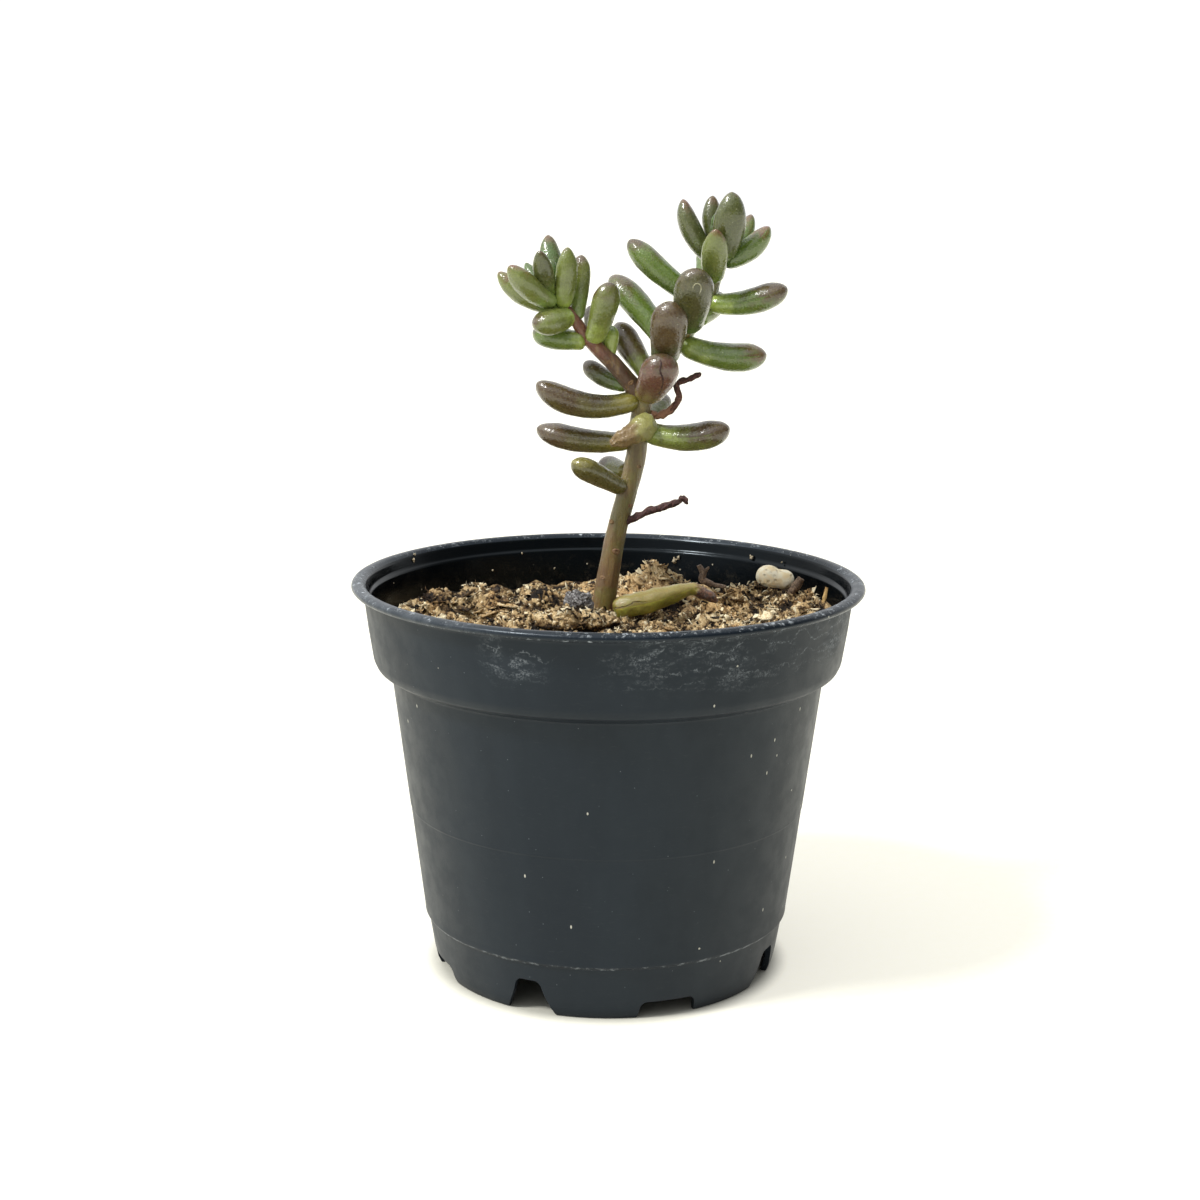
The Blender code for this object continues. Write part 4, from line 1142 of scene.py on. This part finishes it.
def soil_shade(tree, share):
    """Looks a share up in the soil's shades, from dark peat to bleached fibre."""
    node = put(tree, "ShaderNodeValToRGB", {0: share})
    stops = node.color_ramp.elements
    for _ in SOIL_SHADES[2:]:
        stops.new(0.5)
    for stop, (position, colour) in zip(stops, SOIL_SHADES):
        stop.position = position
        stop.color = colour
    return node.outputs[0]


def coir(name, loose):
    """Coir in one body, or loose parts that each carry a shade. Low places of both are painted darker, as painted
    shade.
    """
    finish, tree, shader, place = start_finish(name)
    fibres = clouds(tree, stretched(tree, place, (2.2, 0.8, 1.5)), 0.9, 6.0, 0.8, 0.8)
    streaks = times(tree, sum_of(tree, "SUBTRACT", fibres, 0.5), 1.7)
    # painted shade: the packed body's share follows its lift, so valleys and hollows come out dark
    shade = carried(tree, "shade")[1] if loose else ease(tree, carried(tree, "lift")[1], 0.15, 0.85, -0.05, 0.62)
    colour = soil_shade(tree, sum_of(tree, "ADD", shade, streaks))
    patch = clouds(tree, place, 0.11, 3.0, 0.6)
    for low, high, strength, tint in (
        (0.50, 0.62, 0.5, (1.0, 0.86, 0.70, 1)),
        (0.48, 0.38, 0.45, (0.60, 0.60, 0.62, 1)),
    ):
        there = ease(tree, patch, low, high, 0.0, strength)
        colour = blend(tree, there, colour, blend(tree, 1.0, colour, tint, "MULTIPLY"))
    tree.links.new(colour, shader.inputs["Base Color"])
    tree.links.new(ease(tree, fibres, 0.3, 0.7, 0.72, 0.95), shader.inputs["Roughness"])
    shader.inputs["Specular IOR Level"].default_value = 0.3
    relief(tree, shader, (fibres, 0.45), (clouds(tree, place, 3.0, 5.0, 0.7), 0.2))
    return finish


packed_coir, loose_coir = coir("coir", False), coir("coir_loose", True)
print("soil shades run over", len(SOIL_SHADES), "steps")

# %% Heap the soil
SOIL_LEVEL = 73.0
SOIL_RADIUS = 46.9
SOIL_SPOKES = 300
SOIL_RINGS = 104
HEAPS = [
    (0, 3, 2.2, 8), (-8, -4, 2.8, 6), (9, 20, 7.4, 6.5), (18, 18, 2.8, 6), (22, 11, 2.2, 4.5),
    (28, 13, 2.2, 6),
    (35, 18, 3.6, 6), (43, 8, 2.4, 6), (-14, 10, 3.4, 4.5), (-36, 8, 3.0, 7), (-27, 13, 2.6, 6),
    (28, -12, 1.4, 10),
    (-14, 34, -2.6, 12), (-34, 28, -2.6, 10), (26, 36, -1.4, 9),
]
SOIL_WALL = [(46.5, 68.0), (44.0, 63.6), (43.1, 62.0), (36.8, 12.2), (36.0, 10.5), (12.0, 10.5)]


def soil_height(x, y):
    """The solid's heaps and relief, in millimetres."""
    height = SOIL_LEVEL
    for heap_x, heap_y, rise, spread in HEAPS:
        height += rise * math.exp(-(((x - heap_x) ** 2 + (y - heap_y) ** 2) / spread**2))
    at = Vector((x, y, 0)) / 4.6 + Vector((3.1, 7.4, 1.9))
    return height + 1.3 * (noise.noise(at) + 0.5 * noise.noise(at * 2.1))


CLODS = [
    (-24, 9, 1.8, 4.5), (-34, 7, 1.8, 4.6), (-13, 11, 2.0, 3.6), (-29, 14, 1.6, 4), (-40, 4, 1.5, 4),
    (6, 21, 1.8, 5), (12, 19, 1.6, 4), (17, 16, 1.3, 3), (26, 14, 1.6, 4), (33, 19, 1.6, 4.5),
    (40, 12, 1.6, 4), (44, 4, 1.5, 4),
    (10, -8, 1.2, 4), (22, -4, 1.4, 4), (34, -6, 1.6, 5), (-18, -6, 1.2, 5), (-30, -10, 1.4, 5),
    (0, -20, 1.4, 6),
    (18, -26, 1.6, 6), (-20, -28, 1.6, 7), (2, -38, 1.6, 5), (36, -22, 1.6, 5), (-2, 34, 1.6, 6),
    (14, 36, 1.5, 5),
]


def lumps(x, y, size, seed):
    """Rounded lumps of about this size with sharp valleys between them, from minus to plus one half."""
    bend = Vector((noise.noise(Vector((x, y, seed)) * 0.5), noise.noise(Vector((y, x, seed)) * 0.5), 0)) * 0.5
    distances, _ = noise.voronoi(Vector((x, y, seed)) / size + bend)
    return 0.5 - min(distances[0], 1.0)


def rough_height(x, y):
    """The heaps with clods on them, and how far the place stands out of the valleys around it, which is used to paint
    shade into the valleys.
    """
    height = soil_height(x, y)
    for clod_x, clod_y, rise, spread in CLODS:
        within = 1 - ((x - clod_x) ** 2 + (y - clod_y) ** 2) / spread**2
        if within > 0:
            height += rise * math.sqrt(within)
    crown = math.exp(-((x - 9) ** 2 + (y - 21) ** 2) / 45)
    hollow = math.exp(-((x - 9) ** 2 / 40 + (y - 10.5) ** 2 / 8))
    height -= 0.9 * crown + 1.2 * hollow
    large, small = lumps(x, y, 5.2, 3.0) * (1 - crown), lumps(x, y, 1.9, 8.0) * (1 - 0.5 * crown)
    grit = noise.fractal(Vector((x, y, 0)) * 1.1, 0.8, 2.1, 4)
    edge = min(1.0, max(0.0, (SOIL_RADIUS - math.hypot(x, y)) / 3))
    # lift: high on lumps and the crown, low in valleys and the hollow; the finishes turn it into painted shade
    lift = 0.58 + 0.35 * crown - 0.7 * hollow + 1.1 * large + 0.9 * small + 0.3 * grit
    return height + edge * (2.6 * large + 1.2 * small + 0.6 * grit) - 0.9, min(1.0, max(0.0, lift))


def soil_body():
    bm = bmesh.new()
    rings = []
    for k in range(SOIL_RINGS):
        reach = SOIL_RADIUS * (k + 1) / SOIL_RINGS
        turned = [math.tau * j / SOIL_SPOKES for j in range(SOIL_SPOKES)]
        spots = [(reach * math.cos(a), reach * math.sin(a)) for a in turned]
        rings.append([bm.verts.new((x * MM, y * MM, rough_height(x, y)[0] * MM)) for x, y in spots])
    for reach, height in SOIL_WALL:
        turned = [math.tau * j / SOIL_SPOKES for j in range(SOIL_SPOKES)]
        rings.append([bm.verts.new((reach * MM * math.cos(a), reach * MM * math.sin(a), height * MM)) for a in turned])
    crown = bm.verts.new((0, 0, rough_height(0, 0)[0] * MM))
    sole = bm.verts.new((0, 0, SOIL_WALL[-1][1] * MM))
    for j in range(SOIL_SPOKES):
        after = (j + 1) % SOIL_SPOKES
        bm.faces.new((crown, rings[0][j], rings[0][after]))
        bm.faces.new((sole, rings[-1][after], rings[-1][j]))
        for inner_ring, outer_ring in zip(rings, rings[1:]):
            bm.faces.new((inner_ring[j], outer_ring[j], outer_ring[after], inner_ring[after]))
    bmesh.ops.recalc_face_normals(bm, faces=bm.faces)
    mesh = bpy.data.meshes.new("soil_body")
    bm.to_mesh(mesh)
    mesh.shade_smooth()
    spots = [vert.co for vert in mesh.vertices]
    # every point keeps its lift for the painted shade; the wall below the top gets a flat, dim 0.3
    lifts = [rough_height(spot.x / MM, spot.y / MM)[1] if spot.z > 68.5 * MM else 0.3 for spot in spots]
    mesh.attributes.new("lift", "FLOAT", "POINT").data.foreach_set("value", lifts)
    mesh.materials.append(packed_coir)
    obj = bpy.data.objects.new("soil_body", mesh)
    bpy.context.scene.collection.objects.link(obj)
    return obj


soil = soil_body()
hand_over(soil, "coir", "soil")

# %% Add a clod in front of the stem and crumbs on the wall
CLOD = [
    ((-8.4, -11.3, 74.9), (4.4, 3.6, 2.6)), ((-4.0, -10.8, 74.7), (3.8, 3.0, 2.5)),
    ((-11.8, -10.4, 74.4), (2.6, 2.6, 2.0)),
    ((-0.6, -9.0, 74.6), (3.0, 2.8, 2.2)),
]
clod = lumpy_stone("soil_clod", CLOD, 1.5, 0.45, packed_coir)
# painted shade: the clod's lift grows with height above its lowest point, so its underside comes out dark
sole = min(vert.co.z for vert in clod.data.vertices)
lifts = [(vert.co.z - sole) / MM / 4.2 - 0.1 + 0.5 * noise.noise(vert.co / MM) for vert in clod.data.vertices]
lifts = [min(1.0, max(0.0, lift)) for lift in lifts]
clod.data.attributes.new("lift", "FLOAT", "POINT").data.foreach_set("value", lifts)
hand_over(clod, "coir")

WALL_CRUMBS = [
    ((-42.3, 25.1, 80.0), 0.75), ((-42.2, 26.0, 81.0), 0.5), ((-19.6, 44.0, 78.2), 0.40),
    ((-12.3, 45.9, 74.4), 0.45),
    ((15.0, 45.5, 76.5), 1.0), ((15.9, 45.1, 77.2), 0.6), ((31.8, 36.7, 79.1), 0.7),
    ((38.1, 30.2, 79.3), 0.4), ((-26.0, 39.9, 74.9), 0.4),
]
pale_crumb = dry_skin("pale_crumb", tone(150, 134, 106), tone(206, 194, 166), tone(232, 226, 208))
wall_bm = bmesh.new()
for place, size in WALL_CRUMBS:
    sizes = (size * 0.6, size * 0.6, size * 0.8)
    crumb = lumpy_stone("wall_crumb", [(place, sizes)], size * 0.5, 2.3, pale_crumb, 3)
    wall_bm.from_mesh(crumb.data)
    bpy.data.objects.remove(crumb)
wall_mesh = bpy.data.meshes.new("wall_crumbs")
wall_bm.to_mesh(wall_mesh)
wall_mesh.shade_smooth()
wall_mesh.materials.append(pale_crumb)
wall_crumbs = bpy.data.objects.new("wall_crumbs", wall_mesh)
bpy.context.scene.collection.objects.link(wall_crumbs)
hand_over(wall_crumbs, "coir")

# %% Build the strewing rule
strewing, into = new_rule(
    "strew",
    {
        "Shape": "Object", "Per Square Metre": "Float", "Smallest": "Float", "Largest": "Float", "Lean": "Float",
        "Warp": "Float", "Warps Per Metre": "Float", "Palest": "Float", "Room": "Float", "Seed": "Int", "Material": "Material",
    },
)


def by_chance(tree, low, high, seed, kind="FLOAT"):
    """A random number between two, or a random vector, from the seed."""
    first = {"FLOAT": 2, "FLOAT_VECTOR": 0}[kind]
    node = put(tree, "FunctionNodeRandomValue", {first: low, first + 1: high, "Seed": seed}, data_type=kind)
    return node.outputs[1 if kind == "FLOAT" else 0]


points_inputs = {0: into["Geometry"], "Density": into["Per Square Metre"], "Seed": into["Seed"]}
points = put(strewing, "GeometryNodeDistributePointsOnFaces", points_inputs).outputs
seeds = [sum_of(strewing, "ADD", into["Seed"], k) for k in range(1, 5)]
# painted shade: each loose part's shade is scaled down by the lift where it lies, so parts in valleys come out dark
lifted = ease(strewing, named(strewing, "lift"), 0.15, 0.72, 0.08, 1.06)
shade = times(strewing, by_chance(strewing, -0.12, 1.22, seeds[0]), into["Palest"])
shade = times(strewing, shade, lifted)
shaded = put(strewing, "GeometryNodeStoreNamedAttribute", {0: points[0], "Name": "shade", "Value": shade}).outputs[0]
least = times(strewing, into["Lean"], -1.0)
low_turn = put(strewing, "ShaderNodeCombineXYZ", {0: least, 1: least, 2: 0.0}).outputs[0]
high_turn = put(strewing, "ShaderNodeCombineXYZ", {0: into["Lean"], 1: into["Lean"], 2: math.tau}).outputs[0]
turning = by_chance(strewing, low_turn, high_turn, seeds[1], "FLOAT_VECTOR")
size = sum_of(strewing, "POWER", by_chance(strewing, 0.0, 1.0, seeds[2]), 2.6)
spread = sum_of(strewing, "SUBTRACT", into["Largest"], into["Smallest"])
size = sum_of(strewing, "MULTIPLY_ADD", size, spread, into["Smallest"])
uneven = by_chance(strewing, (0.65, 0.65, 0.55), (1.35, 1.35, 1.2), seeds[3], "FLOAT_VECTOR")
sized = put(strewing, "ShaderNodeVectorMath", {0: uneven, "Scale": size}, operation="SCALE").outputs[0]
shape = put(strewing, "GeometryNodeObjectInfo", {"Object": into["Shape"]}).outputs["Geometry"]
turned_by = put(strewing, "FunctionNodeEulerToRotation", {0: turning}).outputs[0]
set_down_inputs = {0: shaded, "Instance": shape, "Rotation": turned_by, "Scale": sized}
set_down = put(strewing, "GeometryNodeInstanceOnPoints", set_down_inputs).outputs[0]
real = put(strewing, "GeometryNodeRealizeInstances", {0: set_down}).outputs[0]
place = put(strewing, "GeometryNodeInputPosition").outputs[0]
swirl = put(strewing, "ShaderNodeTexNoise", {"Vector": place, "Scale": into["Warps Per Metre"], "Detail": 2.0}).outputs[1]
swirl = put(strewing, "ShaderNodeVectorMath", {0: swirl, 1: (0.5, 0.5, 0.5)}, operation="SUBTRACT").outputs[0]
swirl = put(strewing, "ShaderNodeVectorMath", {0: swirl, "Scale": into["Warp"]}, operation="SCALE").outputs[0]
warped = put(strewing, "GeometryNodeSetPosition", {0: real, "Offset": swirl}).outputs[0]
x, y, z = put(strewing, "ShaderNodeSeparateXYZ", {0: put(strewing, "GeometryNodeInputPosition").outputs[0]}).outputs
out = sum_of(strewing, "SQRT", sum_of(strewing, "MULTIPLY_ADD", x, x, times(strewing, y, y)))
kept_in = sum_of(strewing, "MINIMUM", 1.0, sum_of(strewing, "DIVIDE", into["Room"], out))
x, y = (times(strewing, value, kept_in) for value in (x, y))
held = put(strewing, "ShaderNodeCombineXYZ", {0: x, 1: y, 2: z}).outputs[0]
held = put(strewing, "GeometryNodeSetPosition", {0: warped, "Position": held}).outputs[0]
end_rule(strewing, held, into["Material"])
print("the strewing rule has", len(strewing.nodes), "nodes")

# %% Make the shapes to strew


def kept_shape(name, bm):
    mesh = bpy.data.meshes.new(name)
    bm.to_mesh(mesh)
    obj = bpy.data.objects.new(name, mesh)
    bpy.context.scene.collection.objects.link(obj)
    return obj


def crumb_shape():
    bm = bmesh.new()
    bmesh.ops.create_icosphere(bm, subdivisions=1, radius=0.5)
    for vert in bm.verts:
        vert.co *= 1 + 0.35 * noise.noise(vert.co * 3)
    return kept_shape("crumb_shape", bm)


def fibre_shape(length=7.0, sides=3, steps=4, curl=4.0):
    """A thin bent splinter, one unit thick and a few long, pointed at its ends."""
    bm = bmesh.new()
    rings = []
    for k in range(steps + 1):
        t = k / steps - 0.5
        half = 0.5 * (1 - (2 * t) ** 4) + 0.06
        middle = Vector((t * length, curl * (0.25 - t * t), 0.3 * curl * math.sin(6 * t)))
        turned = [math.tau * j / sides for j in range(sides)]
        rings.append([bm.verts.new(middle + Vector((0, half * math.cos(a), half * math.sin(a)))) for a in turned])
    for near, far in zip(rings, rings[1:]):
        for j in range(sides):
            bm.faces.new((near[j], near[(j + 1) % sides], far[(j + 1) % sides], far[j]))
    bm.faces.new(rings[0])
    bm.faces.new(rings[-1])
    bmesh.ops.recalc_face_normals(bm, faces=bm.faces)
    return kept_shape("fibre_shape", bm)


def flake_shape():
    """A thin torn plate."""
    bm = bmesh.new()
    bmesh.ops.create_grid(bm, x_segments=2, y_segments=2, size=0.5)
    for vert in bm.verts:
        vert.co.x *= 1.9
        vert.co += Vector((noise.noise(vert.co * 2.3), noise.noise(vert.co * 2.9 + Vector((5, 1, 2))), 0)) * 0.35
        vert.co.z = 0.22 * noise.noise(vert.co * 1.7 + Vector((1, 8, 3)))
    lower = bmesh.ops.duplicate(bm, geom=bm.faces[:] + bm.edges[:] + bm.verts[:])["geom"]
    bmesh.ops.translate(bm, verts=[part for part in lower if isinstance(part, bmesh.types.BMVert)], vec=(0, 0, -0.16))
    rim = [edge for edge in bm.edges if edge.is_boundary]
    bmesh.ops.bridge_loops(bm, edges=rim)
    bmesh.ops.recalc_face_normals(bm, faces=bm.faces)
    return kept_shape("flake_shape", bm)


shapes = {"crumb": crumb_shape(), "fibre": fibre_shape(), "flake": flake_shape()}
print({name: triangles(shape) for name, shape in shapes.items()}, "triangles in each shape")

# %% Strew the soil
STREWN = [
    ("soil_crumbs", "crumb", 0.95e6, 0.25, 1.2, 1.5, 0.5, 1100.0, 0.90, 3),
    ("soil_fibres", "fibre", 0.72e6, 0.16, 0.40, 0.85, 1.4, 480.0, 1.10, 17),
    ("soil_flakes", "flake", 0.50e6, 0.3, 1.25, 1.0, 0.8, 700.0, 1.0, 29),
    ("soil_shavings", "flake", 0.035e6, 1.2, 2.6, 0.35, 1.4, 420.0, 0.85, 43),
]
surface = bpy.data.meshes.new("soil_surface")
bm = bmesh.new()
bm.from_mesh(soil.data)
bm.from_mesh(clod.data)
bare = [
    face for face in bm.faces
    if face.calc_center_median().to_2d().length > 45.6 * MM or face.normal.z < 0.1
]
bmesh.ops.delete(bm, geom=bare, context="FACES")
low = [face for face in bm.faces if face.calc_center_median().z < 60 * MM]
bmesh.ops.delete(bm, geom=low, context="FACES")
bm.to_mesh(surface)
for name, shape_name, density, least_size, most_size, lean, warp, warps, palest, seed in STREWN:
    strewn = made_by(
        strewing, name, surface.copy(), shape=shapes[shape_name], per_square_metre=density,
        smallest=least_size * MM, largest=most_size * MM, lean=lean, warp=warp * MM, warps_per_metre=warps,
        palest=palest, room=(SOIL_RADIUS - 0.2) * MM, seed=seed, material=loose_coir,
    )
    hand_over(strewn, "coir")
for shape in shapes.values():
    bpy.data.objects.remove(shape)

# %% [markdown]
# ## Floor, light and camera
# The plant stands on a plain white floor that runs out of sight. A broad light from the front left gives
# the soft shadow to the right, and a pale sky fills in the rest. The floor itself glows a warm cream,
# which lightens its shadow and makes it cream: painted light. The glow is off under the pot and fades in
# just outside its foot, which paints shade there. The camera looks down a little, from a standing height
# close to the table.

# %% Lay the floor
bpy.context.scene.view_settings.view_transform = "Standard"


def floor_paper():
    finish, tree, shader, place = start_finish("floor_paper")
    fibre = clouds(tree, place, 0.5, 4.0, 0.6)
    colour = blend(tree, ease(tree, fibre, 0.3, 0.7), (0.43, 0.425, 0.37, 1), (0.45, 0.445, 0.39, 1))
    tree.links.new(colour, shader.inputs["Base Color"])
    shader.inputs["Roughness"].default_value = 0.9
    shader.inputs["Specular IOR Level"].default_value = 0.0
    # painted light: the floor glows a warm cream, which lifts its shadow; the glow is off under the pot and fades in
    # from 34 to 39.5 mm out, a painted shade at the foot
    shader.inputs["Emission Color"].default_value = (1.0, 0.97, 0.87, 1)
    x, y, _ = put(tree, "ShaderNodeSeparateXYZ", {0: place}).outputs
    reach = sum_of(tree, "SQRT", sum_of(tree, "ADD", times(tree, x, x), times(tree, y, y)))
    tree.links.new(ease(tree, reach, 34.0, 39.5, 0.0, 0.61), shader.inputs["Emission Strength"])
    return finish


floor_mesh = bpy.data.meshes.new("floor")
FLOOR_REACH = 4.0
corners = [(x * FLOOR_REACH, y * FLOOR_REACH, 0) for x, y in ((-1, -1), (1, -1), (1, 1), (-1, 1))]
floor_mesh.from_pydata(corners, [], [(0, 1, 2, 3)])
floor_mesh.materials.append(floor_paper())
floor = bpy.data.objects.new("floor", floor_mesh)
bpy.context.scene.collection.objects.link(floor)

# %% Set the light
world = bpy.data.worlds.new("studio")
bpy.context.scene.world = world
world.use_nodes = True
sky = world.node_tree
sky.nodes.clear()
seen = put(sky, "ShaderNodeLightPath").outputs["Is Camera Ray"]
way = put(sky, "ShaderNodeTexCoord").outputs["Generated"]
towards = put(sky, "ShaderNodeVectorMath", {0: way, 1: (-0.42, -0.08, 0.90)}, operation="DOT_PRODUCT").outputs["Value"]
glow = ease(sky, towards, 0.12, 0.90, 0.20, 1.50)
backwards = put(sky, "ShaderNodeSeparateXYZ", {0: way}).outputs[1]
glow = sum_of(sky, "MAXIMUM", glow, ease(sky, backwards, 0.10, 0.75, 0.20, 1.0))
light_of_sky = put(sky, "ShaderNodeBackground", {"Color": (0.97, 0.985, 1.0, 1), "Strength": glow}).outputs[0]
white = put(sky, "ShaderNodeBackground", {"Color": (1, 1, 1, 1), "Strength": 1.1}).outputs[0]
mixed = put(sky, "ShaderNodeMixShader", {0: seen, 1: light_of_sky, 2: white}).outputs[0]
put(sky, "ShaderNodeOutputWorld", {0: mixed})

TOWARDS_LIGHT = Vector((-53, -33, 81.7)).normalized()
lamp = bpy.data.lights.new("key", "SUN")
lamp.energy = 3.2
lamp.angle = math.radians(10)
lamp.color = (1.0, 0.99, 0.97)
key = bpy.data.objects.new("key", lamp)
key.rotation_euler = TOWARDS_LIGHT.to_track_quat("Z", "Y").to_euler()
bpy.context.scene.collection.objects.link(key)

# %% Set the camera
CAMERA_PLACE = (0, -419.539, 166.616)
YAW, PITCH, ROLL = -0.004, 0.2107, 0.0082
forward = Vector((math.sin(YAW) * math.cos(PITCH), math.cos(YAW) * math.cos(PITCH), -math.sin(PITCH)))
level = Vector((math.cos(YAW), -math.sin(YAW), 0))
above = level.cross(forward)
right = math.cos(ROLL) * level + math.sin(ROLL) * above
upper = -math.sin(ROLL) * level + math.cos(ROLL) * above
lens = bpy.data.cameras.new("camera")
lens.sensor_width = 36
lens.lens = 62.57
lens.clip_start = 0.01
camera = bpy.data.objects.new("camera", lens)
camera.matrix_world = Matrix((right, upper, -forward)).transposed().to_4x4()
camera.location = Vector(CAMERA_PLACE) * MM
bpy.context.scene.collection.objects.link(camera)
bpy.context.scene.camera = camera
